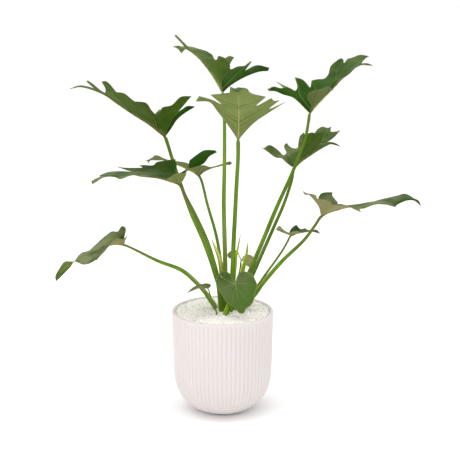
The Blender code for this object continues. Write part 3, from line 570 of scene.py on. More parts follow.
leaf_skin, tree, shader = new_material("leaf_blade_fine")
place = object_place(tree)
upper_side, under, young, brown, sheen, deep = (
    attribute(tree, label) for label in ("upper", "under", "young", "brown", "sheen", "deep"))
rib_away, vein_away, rim_away, along, scar, fine_vein = (
    attribute(tree, label) for label in ("rib", "vein", "rim", "along", "scar", "fine_vein"))
olive_share = ramp(tree, under, 0.0, 0.5)
backlit_share = ramp(tree, under, 0.5, 1.0)
stripes = maths(tree, "SINE", fine_vein)


def under_colour(beige, olive, green):
    """A colour of the lower side, which goes from beige through olive to a green that is painted
    light shining through the leaf.
    """
    return blended(tree, backlit_share, blended(tree, olive_share, beige, olive), green)


top_tone = drifting(tree, place, blended(tree, young, TOP_LIGHT, YOUNG_LIGHT),
                    blended(tree, young, TOP_DARK, YOUNG_DARK), scale=26.0, speck_scale=420.0,
                    speck=0.5)
# Painted shade darkens the upper side near the joint, where the fold shades it.
shaded_near_joint = coated(tree, top_tone["Color"], (JOINT_PAINTED_SHADE, along, 0.5, 0.05, 0.45))
# Painted sheen lies on the upper side in grey-green patches, more on some leaves and parts than
# others.
patches = ramp(tree, noise(tree, place, 36.0, 1.0), 0.34, 0.66, 0.4, 1.6)
sheened = blended(tree, maths(tree, "MULTIPLY", sheen, patches, clamped=True), shaded_near_joint, PAINTED_SHEEN)
top_side = coated(tree, sheened, (TOP_FINE_VEIN, stripes, 0.4, 1.0, 0.05),
                  (TOP_VEIN, vein_away, 1.5, 0.5, 0.18), (TOP_RIB, rib_away, 1.6, 0.7, 0.35))

under_light = under_colour((0.28, 0.258, 0.138), (0.215, 0.275, 0.082), (0.074, 0.148, 0.012))
under_dark = under_colour((0.20, 0.19, 0.08), (0.155, 0.205, 0.05), (0.042, 0.097, 0.007))
vein_painted_shadow = under_colour((0.20, 0.19, 0.085), (0.105, 0.155, 0.030), (0.028, 0.075, 0.004))
vein_pale = under_colour((0.29, 0.265, 0.14), (0.40, 0.43, 0.18), (0.17, 0.24, 0.05))
vein_colour = blended(tree, brown, vein_pale, BROWN_VEIN)
under_tone = drifting(tree, place, under_light, under_dark, scale=30.0, speck_scale=420.0, speck=0.4)
# Below, a band of painted shadow lies on both sides of each side vein, under its paler core.
under_veined = coated(tree, under_tone["Color"], (vein_colour, stripes, 0.3, 1.0, 0.2),
                      (RIB_STRIP, rib_away, 9.0, 3.0, 0.4), (vein_painted_shadow, vein_away, 5.2, 2.4, 1.0),
                      (vein_colour, vein_away, 1.8, 0.7, 0.8))
# Painted shade darkens the lower side toward black, more on some leaves than others.
under_shaded = blended(tree, deep, blended(tree, young, under_veined, YOUNG_UNDER), BLACK_PAINTED_SHADE)
under_side = coated(tree, under_shaded,
                    (blended(tree, brown, RIB_YELLOW, RIB_BROWN), rib_away, 1.6, 0.7, 0.9))

both_sides = coated(tree, blended(tree, upper_side, under_side, top_side),
                    (RIM_GREEN, rim_away, 0.8, 0.2, 0.4), (SCAR_BUFF, scar, 1.15, 0.8, 1.0))
feed(tree, shader.inputs["Base Color"], both_sides)
feed(tree, shader.inputs["Roughness"], ramp(tree, upper_side, 0.0, 1.0, 0.62, 0.45))
shader.inputs["Specular IOR Level"].default_value = 0.015
bumped(tree, shader, maths(tree, "MULTIPLY_ADD", stripes, 0.12, top_tone["Height"]), 0.18, 0.0005)


def seen(across, up, depth):
    """The point that the eye sees at (across, up) on the pot's middle plane, moved back by depth."""
    target = Vector((across, 0.0, up))
    return EYE + (target - EYE) * (1.0 + depth / -EYE.y)


def from_joint(joint, point):
    """The point that the eye sees at (across, up) from a blade's joint, moved back by depth."""
    target = joint + Vector((point[0], 0.0, point[1]))
    return np.array(EYE + (target - EYE) * (1.0 + point[2] / (joint.y - EYE.y)))


def plate_terms(a, b):
    square = ((a[:, None, :] - b[None, :, :]) ** 2).sum(2)
    return np.where(square > 0, square * np.log(np.maximum(square, 1e-12)), 0.0)


def plate_through(flat, space):
    """The smoothest sheet through space points that sit at flat points."""
    flat = flat / SHEET_SCALE
    count = len(flat)
    system = np.zeros((count + 3, count + 3))
    system[:count, :count] = plate_terms(flat, flat) + SHEET_EASE * np.eye(count)
    system[:count, count] = 1.0
    system[:count, count + 1:] = flat
    system[count:, :count] = system[:count, count:].T
    wanted = np.zeros((count + 3, 3))
    wanted[:count] = space
    weights = np.linalg.solve(system, wanted)
    return lambda at: (plate_terms(at / SHEET_SCALE, flat) @ weights[:count] + weights[count]
                       + at / SHEET_SCALE @ weights[count + 1:])


def nearest_on(points, line, low=0.0, high=1.0):
    """For each point: its nearest segment of a line, the share along that, and the distance.

    low and high bound the share on each segment, so that an end can be made to reach on.
    """
    start, span = line[:-1], line[1:] - line[:-1]
    square = np.maximum((span ** 2).sum(1), 1e-12)
    share = np.clip(((points[:, None, :] - start) * span).sum(2) / square, low, high)
    off = np.linalg.norm(points[:, None, :] - start - span * share[:, :, None], axis=2)
    best = off.argmin(1)
    rows = np.arange(len(points))
    return best, share[rows, best], off[rows, best]


def distance_to(points, line):
    """Each point's distance to a line and how far along the line, 0 to 1, it is nearest."""
    best, share, off = nearest_on(points, line)
    return off, (best + share) / (len(line) - 1)


def flatten(points, spine, along):
    """Lays margin points out flat: distance along the midrib and distance from it."""
    steps = np.linalg.norm(np.diff(spine, axis=0), axis=1)
    low = np.zeros(len(steps))
    high = np.ones(len(steps))
    low[0] = -20.0
    high[-1] = 20.0
    best, share, off = nearest_on(points, spine, low, high)
    return np.stack([along[best] + share * steps[best], off], 1)


def margin(points, joint):
    """The margin in space, broken at each lobe's tip, and where in it the tips are."""
    spans = [[]]
    for point in points:
        spans[-1].append(from_joint(joint, point))
        if len(point) == 4 and point is not points[-1]:
            spans.append([spans[-1][-1]])
    line = []
    tips = []
    for span in spans:
        if len(span) > 1:
            line += curve(span, RIM_STEP)[:-1]
            tips.append(len(line))
    return line + [from_joint(joint, points[-1])], tips[:-1]


def lay_out(points, joint, spine, along, side):
    """Half a blade's margin in space, the same laid flat beside the midrib, and its lobes' tips."""
    line, tips = margin(points, joint)
    line = np.array(line[1:-1])
    laid = flatten(line, spine, along)
    laid[:, 1] *= side
    return line, laid, [t - 1 for t in tips if t - 1 < len(line)]


def inside(points, loop):
    """Which points lie within a closed flat loop."""
    x, y = points[:, 0][:, None], points[:, 1][:, None]
    ax, ay = loop[:, 0], loop[:, 1]
    bx, by = np.roll(ax, -1), np.roll(ay, -1)
    rise = np.where(by == ay, 1e-9, by - ay)
    crossed = ((ay > y) != (by > y)) & (x < (bx - ax) * (y - ay) / rise + ax)
    return crossed.sum(1) % 2 == 1


def side_vein(end, length, loop, closed, step, last, lean):
    """A side vein to one lobe, the way from the midrib that stays longest in the blade.

    last is how far along the midrib, as a share, the veins of this leaf may leave it, and
    lean how steeply they rise beside the usual.
    """
    best = np.zeros((0, 2))
    reached = VEIN_LEAST
    for slant in VEIN_SLANTS:
        root = min(max(end[0] - lean * slant * abs(end[1]), 0.04 * length), last * length)
        bend = np.array((root + VEIN_BEND[0] * (end[0] - root), VEIN_BEND[1] * end[1]))
        count = max(4, round(math.hypot(end[0] - root, end[1]) / step))
        t = np.linspace(0.0, 1.0, count + 1)[:, None]
        path = (1 - t) ** 2 * np.array((root, 0.0)) + 2 * t * (1 - t) * bend + t ** 2 * end
        fits = inside(path[1:], loop) & (distance_to(path[1:], closed)[0] > RIM_CLEAR)
        kept = len(fits) if fits.all() else int(fits.argmin())
        if kept / len(fits) > reached + 0.02:
            reached = kept / len(fits)
            best = path[1:kept + 1]
    return best


def vein_paths(halves, length, loop, closed, step, last, lean):
    """The main side veins in the flat, one to each lobe and some to plain stretches of margin."""
    paths = []
    for _, laid, tips in halves:
        ends = []
        for i in tips:
            middle = 0.5 * (laid[max(i - 3, 0)] + laid[min(i + 3, len(laid) - 1)])
            if (abs(laid[i][1]) > LOBE_LEAST
                    and inside((laid[i] * 0.8 + middle * 0.2)[None], loop)[0]):
                ends.append(laid[i] * 0.95 + middle * 0.05)
        for share in PLAIN_VEINS:
            if all(abs(i / len(laid) - share) > PLAIN_VEIN_GAP for i in tips):
                ends.append(laid[int(len(laid) * share)] * np.array((1.0, PLAIN_VEIN_REACH)))
        for end in ends:
            path = side_vein(end, length, loop, closed, step, last, lean)
            if len(path) > 2:
                paths.append(path)
    return sorted(paths, key=len, reverse=True)


def apart(paths, gap):
    """Leaves out the parts of a path that run into an earlier one."""
    kept = []
    for path in paths:
        for other in kept:
            near = distance_to(path, other)[0] < gap
            if near.any():
                stop = int(near.argmax())
                path = path[:stop] if stop > 2 else path[:0]
                if len(path) == 0:
                    break
        if len(path) > 2:
            kept.append(path)
    return kept


def add_rails(extra, along, outline, closed):
    """Adds a row of points on each side of the midrib, where it stays clear of rim and veins."""
    for side in (1.0, -1.0):
        off = RIB_WIDTH * (1.0 - 0.75 * along[2:-2] / along[-1])
        rail = np.stack([along[2:-2], side * off], 1)
        rail = rail[inside(rail, outline) & (distance_to(rail, closed)[0] > 0.8)]
        extra += [p for p in rail
                  if not extra or np.min(((np.array(extra) - p) ** 2).sum(1)) > 0.6]


def filling(outline, fixed, step):
    """A field of points in rows that fills the outline, left open round the fixed points."""
    low, high = outline.min(0), outline.max(0)
    rows = np.arange(low[1], high[1], step * math.sqrt(0.75))
    grid = np.array([(x + 0.5 * step * (k % 2), y) for k, y in enumerate(rows)
                     for x in np.arange(low[0], high[0], step)])
    grid = grid[inside(grid, outline)]
    clear = np.array([np.min(((fixed - p) ** 2).sum(1)) > (0.62 * step) ** 2 for p in grid])
    return grid[clear]


def largest_patch(faces):
    """The triangles of the largest patch that hangs together by its edges."""
    owner = {}
    for i, f in enumerate(faces):
        for k in range(3):
            owner.setdefault(frozenset((f[k], f[(k + 1) % 3])), []).append(i)
    patch = [-1] * len(faces)
    sizes = []
    for i in range(len(faces)):
        if patch[i] < 0:
            patch[i] = len(sizes)
            sizes.append(0)
            todo = [i]
            while todo:
                j = todo.pop()
                sizes[-1] += 1
                for k in range(3):
                    for n in owner[frozenset((faces[j][k], faces[j][(k + 1) % 3]))]:
                        if patch[n] < 0:
                            patch[n] = patch[i]
                            todo.append(n)
    best = sizes.index(max(sizes))
    return [f for i, f in enumerate(faces) if patch[i] == best]


def flat_mesh(points, edges, loop):
    """The loop filled with triangles: their points, the triangles and where each point is from."""
    verts, _, faces, sources, _, _ = delaunay_2d_cdt([Vector(p) for p in points], edges, [loop],
                                                     1, 1e-5)
    tris = largest_patch(faces)
    used = sorted({k for f in tris for k in f})
    renumber = {k: i for i, k in enumerate(used)}
    flat = np.array([tuple(verts[k]) for k in used])
    tris = np.array([[renumber[k] for k in f] for f in tris])
    corners = flat[tris]
    turn = np.cross(corners[:, 1] - corners[:, 0], corners[:, 2] - corners[:, 0])
    tris[turn <= 0] = tris[turn <= 0][:, [0, 2, 1]]
    return flat, tris, [sources[k] for k in used]


def point_normals(points, tris):
    a, b, c = points[tris[:, 0]], points[tris[:, 1]], points[tris[:, 2]]
    normals = np.zeros_like(points)
    for k in range(3):
        np.add.at(normals, tris[:, k], np.cross(b - a, c - a))
    return normals / np.maximum(np.linalg.norm(normals, axis=1), 1e-9)[:, None]


def vein_distances(flat, paths):
    """Each point's distance to its nearest side vein, in vein widths and in millimetres."""
    widths = np.full(len(flat), FAR_AWAY)
    away = np.full(len(flat), FAR_AWAY)
    for path in paths:
        rooted = np.vstack([(path[0][0] - (path[1][0] - path[0][0]) * 0.8, 0.0), path])
        off, share = distance_to(flat, rooted)
        widths = np.minimum(widths, off / (VEIN_WIDTH * (1.0 - 0.6 * share)))
        away = np.minimum(away, off)
    return widths, away


def relief(rim, rib_mm, vein_mm, rib_height):
    """How far the sheet puffs up between its veins, and how far veins and midrib stand out below."""
    soft = np.minimum(rib_mm, vein_mm)
    puff = QUILT * (1.0 - np.exp(-(soft / QUILT_REACH) ** 2)) * np.clip(rim / 5.0, 0.0, 1.0)
    puff -= 0.5 * QUILT * np.clip(1.0 - rim / 3.0, 0.0, 1.0)
    ridge = rib_height * (rib_mm < 1e-3) * np.clip(rim / 2.0 + 0.3, 0.0, 1.0)
    ridge += VEIN_RIDGE * np.exp(-(vein_mm / VEIN_WIDTH) ** 2) * np.clip(rim / 4.0, 0.0, 1.0)
    return puff, ridge


def sheet_faces(tris, count):
    """The upper faces, the lower ones, and the strip that closes the sheet along its rim."""
    top = [tuple(int(v) for v in t) for t in tris]
    border = {(t[i], t[(i + 1) % 3]) for t in top for i in range(3)}
    strip = [(a, a + count, b + count, b) for a, b in sorted(border) if (b, a) not in border]
    return top + [(a + count, c + count, b + count) for a, b, c in top] + strip


def set_values(piece, label, numbers):
    store = piece.data.attributes.new(label, "FLOAT", "POINT")
    store.data.foreach_set("value", np.ascontiguousarray(numbers, np.float32))


def along_rib(share, tones):
    """Tones that stand evenly spaced along the midrib, read at each share of its length."""
    return np.interp(share, np.linspace(0.0, 1.0, len(tones)), tones)


def add_blade(number, top, midrib, near, far, near_side, under, sheen, deep=0.0, young=0.0,
              brown=0.0, scars=(), lean=1.0, step=FACE_STEP, rib=RIB_HEIGHT):
    """One blade through its midrib and margins, with its veins standing in its own mesh.

    top is the joint with the stalk as (across, up, depth) seen from the front. near_side is 1
    where the near half lies left of the midrib seen from above. under is the tone below from
    joint to tip: 0 beige, 0.5 olive, 1 the green of painted light shining through the leaf.
    sheen is how much painted sheen lies on the upper side from joint to tip, young how light it
    is. deep is how much painted shade darkens it below and brown how brown its ribs are.
    scars are dry spots as (across, up, depth, radius). lean is how steeply its veins rise, and
    rib how far its midrib stands out below.
    """
    # The midrib and both margins in space and laid flat, with a smooth sheet through each half.
    joint = seen(*top)
    spine = np.array(curve([from_joint(joint, p) for p in [(0, 0, 0)] + midrib], SPINE_STEP))
    along = np.concatenate([[0.0], np.cumsum(np.linalg.norm(np.diff(spine, axis=0), axis=1))])
    length = along[-1]
    flat_spine = np.stack([along, np.zeros(len(along))], 1)
    halves = [lay_out([(0, 0, 0)] + edge + [midrib[-1]], joint, spine, along, side)
              for edge, side in ((near, near_side), (far, -near_side))]
    sheets = [plate_through(np.vstack([flat_spine, laid]), np.vstack([spine, line]))
              for line, laid, _ in halves]
    known = np.vstack([flat_spine, halves[0][1], halves[1][1]])
    known_space = np.vstack([spine, halves[0][0], halves[1][0]])
    ribs, nears = len(spine), len(halves[0][0])
    loop = [0, *range(ribs, ribs + nears), ribs - 1, *range(len(known) - 1, ribs + nears - 1, -1)]
    outline = known[loop]
    closed = np.vstack([outline, outline[:1]])

    # A flat mesh with its edges along midrib, margins and side veins, lifted onto the sheets.
    last = 0.9 - 0.75 * young
    paths = apart(vein_paths(halves, length, outline, closed, step, last, lean),
                  (1.4 - 0.8 * young) * step)
    edges = [(i, i + 1) for i in range(ribs - 1)]
    extra = []
    for path in paths:
        first = len(known) + len(extra)
        extra += list(path)
        edges += [(i, i + 1) for i in range(first, first + len(path) - 1)]
    add_rails(extra, along, outline, closed)
    fixed = np.vstack([known, extra])
    flat, tris, sources = flat_mesh(np.vstack([fixed, filling(outline, fixed, step)]), edges, loop)
    left = flat[:, 1] * near_side > 0
    middle = np.where(left[:, None], sheets[0](flat), sheets[1](flat))
    for i, source in enumerate(sources):
        if source and source[0] < len(known):
            middle[i] = known_space[source[0]]
    normals = point_normals(middle, tris)

    # The leaf's thickness on both sides of the sheet, puffed between ribs that stand out below.
    share = flat[:, 0] / length
    rim = distance_to(flat, closed)[0]
    rib_mm = np.abs(flat[:, 1])
    vein, vein_mm = vein_distances(flat, paths)
    taper = np.clip(1.0 - 0.8 * flat[:, 0] / length, 0.15, 1.0)
    puff, ridge = relief(rim, rib_mm, vein_mm, rib * taper)
    half = 0.5 * BLADE_THICKNESS * np.clip(0.45 + rim / 3.0, 0.45, 1.0)
    upper = middle + normals * (half + puff - 0.25 * ridge)[:, None]
    lower = middle + normals * (puff - half - ridge)[:, None]
    blade = mesh_object(f"blade_{number}", np.vstack([upper, lower]),
                        sheet_faces(tris, len(flat)), leaf_skin)

    # What the leaf's skin reads, the same on both sides but for which side it is.
    scar = np.full(len(flat), FAR_AWAY)
    for spot in scars:
        off = np.linalg.norm(middle - from_joint(joint, spot[:3]), axis=1)
        scar = np.minimum(scar, off / spot[3])
    set_values(blade, "upper", np.repeat([1.0, 0.0], len(flat)))
    on_both_sides = {"rib": rib_mm / (RIB_WIDTH * taper) + 1.3 * share,
                     "vein": vein,
                     "rim": rim / (1.0 + 1.5 * young),
                     "fine_vein": (flat[:, 0] - rib_mm) * 2 * math.pi / FINE_VEIN_SPACING,
                     "under": along_rib(share, under),
                     "sheen": along_rib(share, sheen),
                     "along": share + rib_mm / length,
                     "scar": scar,
                     "deep": np.full(len(flat), deep),
                     "young": np.full(len(flat), young),
                     "brown": np.full(len(flat), brown)}
    for label, numbers in on_both_sides.items():
        set_values(blade, label, np.tile(numbers, 2))
    tuck = int(np.argmin(np.linalg.norm(flat - (STALK_TUCK, 0.0), axis=1)))
    JOINTS[number] = (np.array(joint), middle[tuck], normals[tuck])
    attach(blade, "root")
    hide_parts(f"leaf_{number}_blade")


# Leaf 1: the tallest, top middle, tip up and away to the left
add_blade(1, (1, 503, 25),
          midrib=[(-16, 27, 12), (-36, 52, 35), (-55, 66, 58), (-76, 70, 85)],
          near=[(-1, 19, -8), (11, 38, -30), (10, 44, -36), (3, 53, -42), (-7, 56, -40, TIP),
                (-10, 50, -24), (-13, 51, -20), (-28, 53, 14, TIP), (-21, 41, 11, TIP),
                (-28, 48, 20), (-35, 55, 30), (-43, 60, 40), (-50, 66, 48), (-53, 70, 46),
                (-71, 88, 37, TIP), (-73, 86, 38, TIP), (-57, 68, 57), (-66, 71, 70)],
          far=[(12, 11, 20), (32, 23, 48), (56, 32, 78), (69, 33, 92, TIP), (71, 38, 96, TIP),
               (53, 42, 84), (34, 34, 58, TIP), (44, 47, 80, TIP), (42, 48, 80, TIP),
               (33, 41, 66, TIP), (22, 40, 60), (12, 36, 54), (10, 41, 62), (17, 54, 90, TIP),
               (10, 56, 95), (3, 52, 84), (-6, 44, 64), (-12, 50, 70), (-16, 58, 80, TIP),
               (-25, 63, 82), (-34, 65, 84), (-42, 67, 88), (-52, 68, 94), (-57, 66, 98),
               (-63, 60, 104, TIP), (-69, 67, 94)],
          near_side=1, under=(0.9, 0.68), sheen=(0.0, 0.15, 0.6))
# Leaf 2: front middle, rising toward the viewer with its pale underside showing
add_blade(2, (24, 430, -30),
          midrib=[(1, 30, -25), (1, 60, -60), (0, 79, -98), (-1, 72, -140)],
          near=[(-3, 6, 0), (-15, 24, -8), (-31, 45, -15), (-42, 58, -20), (-63, 59, -25, TIP),
                (-58, 67, -28, TIP), (-43, 63, -32), (-24, 54, -42), (-41, 69, -62, TIP),
                (-31, 70, -70), (-20, 70, -85), (-14, 70, -100), (-12, 81, -128, TIP),
                (-7, 75, -137)],
          far=[(3, 5, 0), (16, 20, -6), (28, 31, -10), (40, 39, -14), (71, 59, -20, TIP),
               (46, 48, -22), (61, 61, -40, TIP), (53, 60, -44), (49, 64, -50, TIP), (26, 52, -50),
               (41, 66, -75, TIP), (23, 70, -85), (17, 73, -98), (13, 78, -120), (7, 78, -132)],
          near_side=-1, under=(0.5, 0.5), sheen=(0.1, 0.1), deep=0.12, brown=0.1, lean=1.5)
# Leaf 3: left upper, reaching left
add_blade(3, (-87, 436, 22),
          midrib=[(-25, 20, 0), (-47, 34, -2), (-72, 51, -4), (-94, 66, -8), (-129, 77, -12),
                  (-146, 74, -15)],
          near=[(2, 7, -4), (10, 26, -22), (29, 49, -45), (41, 63, -55, TIP), (25, 62, -58),
                (10, 49, -52), (-3, 46, -50), (-11, 33, -28), (-20, 41, -45), (-29, 53, -62),
                (-44, 55, -70, TIP), (-47, 55, -62), (-61, 67, -66), (-72, 69, -62), (-88, 70, -50),
                (-93, 68, -36), (-100, 74, -40), (-108, 81, -45), (-117, 87, -51, TIP),
                (-119, 85, -51, TIP), (-112, 79, -34), (-109, 75, -24), (-129, 79, -22)],
          far=[(9, 12, 12), (19, 27, 28), (31, 37, 42), (47, 47, 56, TIP), (35, 48, 55),
               (25, 42, 46), (8, 34, 34), (-8, 43, 70, TIP), (-20, 34, 40), (-35, 50, 78, TIP),
               (-50, 44, 42), (-62, 56, 46), (-75, 71, 60), (-83, 81, 68), (-90, 86, 74),
               (-96, 85, 75, TIP), (-90, 73, 56), (-95, 67, 34), (-118, 77, 24)],
          near_side=1, under=(1.0, 0.75), sheen=(0.0, 0.15), deep=0.22, brown=1.0)
# Leaf 4: right upper, the widest, dark upper side toward the viewer
add_blade(4, (132, 472, -15),
          midrib=[(10, 12, 4), (21, 24, 6), (32, 35, 9), (44, 48, 12), (54, 58, 15), (67, 68, 18),
                  (76, 72, 21), (93, 71, 26)],
          near=[(2, 11, -14), (-1, 17, -26), (-4, 22, -36), (-4, 28, -44), (0, 31, -50),
                (8, 34, -52), (18, 37, -50), (26, 40, -46), (30, 39, -48), (34, 34, -56, TIP),
                (36, 39, -34), (40, 47, -20), (44, 52, -16), (49, 53, -12), (58, 59, -6),
                (67, 68, -2), (75, 72, 4), (86, 74, 14)],
          far=[(-6, 6, 5), (-17, 17, 15), (-26, 24, 24), (-40, 28, 36), (-52, 33, 46),
               (-61, 33, 52, TIP), (-64, 36, 54, TIP), (-54, 40, 50), (-46, 38, 46), (-40, 38, 42),
               (-51, 48, 58, TIP), (-41, 43, 52), (-28, 37, 42), (-22, 34, 36), (-19, 39, 44),
               (-23, 54, 62, TIP), (-12, 51, 62), (-6, 46, 56), (0, 39, 42), (2, 49, 58, TIP),
               (10, 51, 62), (21, 52, 62), (26, 57, 62), (30, 70, 74), (36, 76, 80), (46, 82, 84),
               (49, 80, 84, TIP), (50, 75, 70), (55, 81, 76), (63, 83, 74), (73, 87, 70),
               (87, 85, 66, TIP), (82, 82, 60), (77, 73, 36)],
          near_side=-1, under=(0.6, 0.55), sheen=(0.0, 0.0, 0.15, 0.2), deep=0.45)
# Leaf 5: right middle, behind leaf 4's stalk
add_blade(5, (110, 389, 50),
          midrib=[(10, 9, 4), (24, 19, 10), (41, 30, 18), (50, 35, 26), (61, 39, 34), (74, 33, 50)],
          near=[(3, 12, -10), (9, 28, -25), (14, 52, -45, TIP), (27, 56, -45), (30, 55, -40),
                (47, 55, -30, TIP), (43, 45, -12), (38, 31, 8), (50, 37, 22)],
          far=[(-5, 2, 5), (-16, 11, 16), (-20, 15, 20), (-29, 16, 28), (-43, 26, 36),
               (-53, 33, 40, TIP), (-48, 31, 44), (-44, 34, 48), (-39, 36, 52), (-31, 32, 52),
               (-24, 26, 46), (-17, 20, 36), (-13, 23, 38), (-16, 31, 48), (-16, 36, 56),
               (-12, 39, 60), (-9, 35, 58), (-2, 31, 50), (4, 31, 48), (6, 41, 62), (8, 50, 78),
               (14, 56, 88, TIP), (22, 44, 64), (37, 62, 92), (44, 65, 100), (51, 63, 102),
               (57, 65, 106, TIP), (57, 57, 92), (72, 59, 104, TIP), (62, 48, 84), (46, 36, 56),
               (56, 39, 46)],
          near_side=-1, under=(1.0, 0.85), sheen=(0.45, 0.25, 0.25), deep=0.22, brown=0.8)
# Leaf 6: left middle, held level, reaching left
add_blade(6, (-66, 363, -55),
          midrib=[(-19, 6, -4), (-34, 10, -8), (-55, 12, -12), (-73, 15, -16), (-97, 13, -20),
                  (-114, 10, -24), (-130, 0, -28)],
          near=[(4, 4, -4), (11, 17, -28, TIP), (-5, 16, -40), (-19, 7, -50, TIP), (-29, 9, -30),
                (-51, 12, -72, TIP), (-59, 14, -36), (-74, 13, -66), (-87, 8, -60), (-96, 11, -40),
                (-120, 13, -60, TIP), (-116, 10, -40), (-123, 4, -42, TIP)],
          far=[(6, 13, 8), (14, 22, 18), (36, 31, 38), (45, 42, 46), (56, 48, 54, TIP),
               (53, 51, 56, TIP), (37, 51, 56), (24, 43, 50), (15, 36, 44, TIP), (11, 24, 24),
               (-3, 16, 18), (-4, 30, 50), (-6, 38, 62, TIP), (-19, 36, 62), (-34, 33, 60),
               (-38, 29, 56), (-55, 29, 62), (-60, 28, 68, TIP), (-55, 25, 54), (-72, 24, 56),
               (-94, 27, 64, TIP), (-77, 21, 42), (-69, 18, 20), (-88, 19, 26), (-106, 18, 22),
               (-118, 14, 14, TIP), (-119, 9, -8), (-125, 8, -14), (-131, 5, -22, TIP)],
          near_side=1, under=(0.35, 0.2), sheen=(0.0, 0.3, 0.5), deep=0.2, brown=0.9)
# Leaf 7: behind leaf 6
add_blade(7, (-35, 375, 95),
          midrib=[(-8, 6, 3), (-20, 12, 6), (-32, 18, 9), (-45, 22, 12), (-57, 27, 15),
                  (-68, 27, 17), (-79, 27, 19), (-88, 26, 20)],
          near=[(7, 7, -4), (19, 13, -10), (31, 16, -14), (43, 19, -16), (50, 19, -17),
                (53, 22, -18), (50, 25, -18), (43, 23, -17), (31, 19, -14), (18, 16, -12),
                (7, 19, -20, TIP), (-9, 18, -14), (-17, 21, -12), (-26, 24, -10),
                (-36, 25, -14, TIP), (-47, 26, -6), (-55, 29, -4), (-60, 31, -4), (-64, 33, -4),
                (-68, 35, -3), (-72, 35, 0), (-76, 32, 4), (-81, 29, 10)],
          far=[(-2, 6, 8), (-8, 9, 16), (-15, 13, 24), (-26, 17, 40, TIP), (-30, 18, 26),
               (-42, 22, 40, TIP), (-48, 23, 28), (-58, 29, 32), (-68, 31, 32), (-77, 29, 28),
               (-85, 20, 25, TIP), (-84, 25, 22)],
          near_side=1, under=(0.35, 0.2), sheen=(0.3, 0.3), deep=0.38, young=0.1)
# Leaf 8: low left on a long leaning stalk, blade hanging down to the left
add_blade(8, (-153, 267, -20),
          midrib=[(-14, 1, -4), (-27, -2, -7), (-39, -10, -10), (-52, -16, -13), (-64, -21, -15),
                  (-76, -25, -18), (-89, -33, -20), (-99, -43, -23), (-107, -58, -25)],
          near=[(1, 6, -8), (6, 16, -35, TIP), (-3, 9, -28), (-11, 11, -38), (-18, 6, -42),
                (-22, 1, -36), (-28, -7, -40), (-41, -21, -52), (-43, -24, -56, TIP),
                (-45, -24, -46), (-56, -30, -55), (-64, -31, -50), (-72, -28, -34), (-77, -26, -23),
                (-83, -26, -26), (-91, -27, -36), (-99, -37, -40), (-108, -50, -37)],
          far=[(0, 10, 10), (3, 25, 22), (1, 29, 27), (-3, 30, 28), (-6, 27, 27), (-9, 22, 26),
               (-20, 21, 44), (-27, 15, 40), (-34, 10, 32), (-43, -1, 48), (-54, -10, 32),
               (-64, -11, 36, TIP), (-71, -17, 14), (-76, -23, -13), (-81, -30, -14),
               (-85, -36, -8, TIP), (-92, -43, -10), (-99, -50, -14)],
          near_side=1, under=(0.05, 1.0), sheen=(0.4, 0.95, 0.6), brown=0.6)
# Leaf 9: low right, with a long ribbon of a tip
add_blade(9, (152, 312, -30),
          midrib=[(11, 6, -1), (26, 11, -3), (42, 15, -5), (62, 16, -8), (87, 22, -10),
                  (116, 26, -14), (136, 28, -16), (147, 25, -18), (152, 16, -20)],
          near=[(-1, 7, -6), (-3, 15, -14), (-9, 24, -22), (-19, 34, -28), (-24, 34, -30),
                (-28, 40, -34, TIP), (-20, 36, -38), (-8, 34, -40, TIP), (-5, 28, -34),
                (9, 26, -45), (15, 23, -48, TIP), (18, 19, -40), (28, 18, -45), (42, 16, -20),
                (54, 10, -38), (62, 7, -48, TIP), (59, 12, -32), (66, 13, -36, TIP), (82, 19, -25),
                (97, 19, -38), (113, 15, -48, TIP), (116, 19, -36), (129, 25, -36), (141, 25, -30)],
          far=[(-1, 7, 8), (-3, 20, 28), (-4, 30, 40, TIP), (0, 36, 46), (15, 38, 55),
               (18, 37, 58, TIP), (17, 33, 50), (26, 22, 45, TIP), (26, 18, 30), (42, 17, 25),
               (60, 18, 36, TIP), (82, 24, 18), (98, 27, 36), (121, 34, 34, TIP), (127, 35, 26),
               (137, 31, 8)],
          near_side=-1, under=(0.05, 0.12), sheen=(0.3, 0.6, 0.95, 0.75, 0.1, 0.0), brown=0.8)
# Leaf 10: small, right, behind leaf 9's stalk
add_blade(10, (106, 282, 30),
          midrib=[(9, 3, 2), (19, 5, 5), (36, 7, 8), (47, 3, 10)],
          near=[(-8, 3, -6), (-16, 6, -12), (-24, 9, -20, TIP), (-22, 13, -20), (-18, 16, -18),
                (-14, 12, -15), (-6, 6, -10), (-1, 5, -8), (2, 6, -10), (9, 8, -26, TIP),
                (18, 5, -12), (30, 7, -24, TIP), (36, 6, -8)],
          far=[(-2, 6, 8), (4, 15, 24), (9, 18, 30, TIP), (11, 15, 24), (15, 11, 20), (23, 12, 28),
               (28, 9, 18), (40, 10, 26, TIP), (44, 7, 16)],
          near_side=-1, under=(0.25, 0.2), sheen=(0.3, 0.3), brown=0.5, step=2.4, rib=0.8)
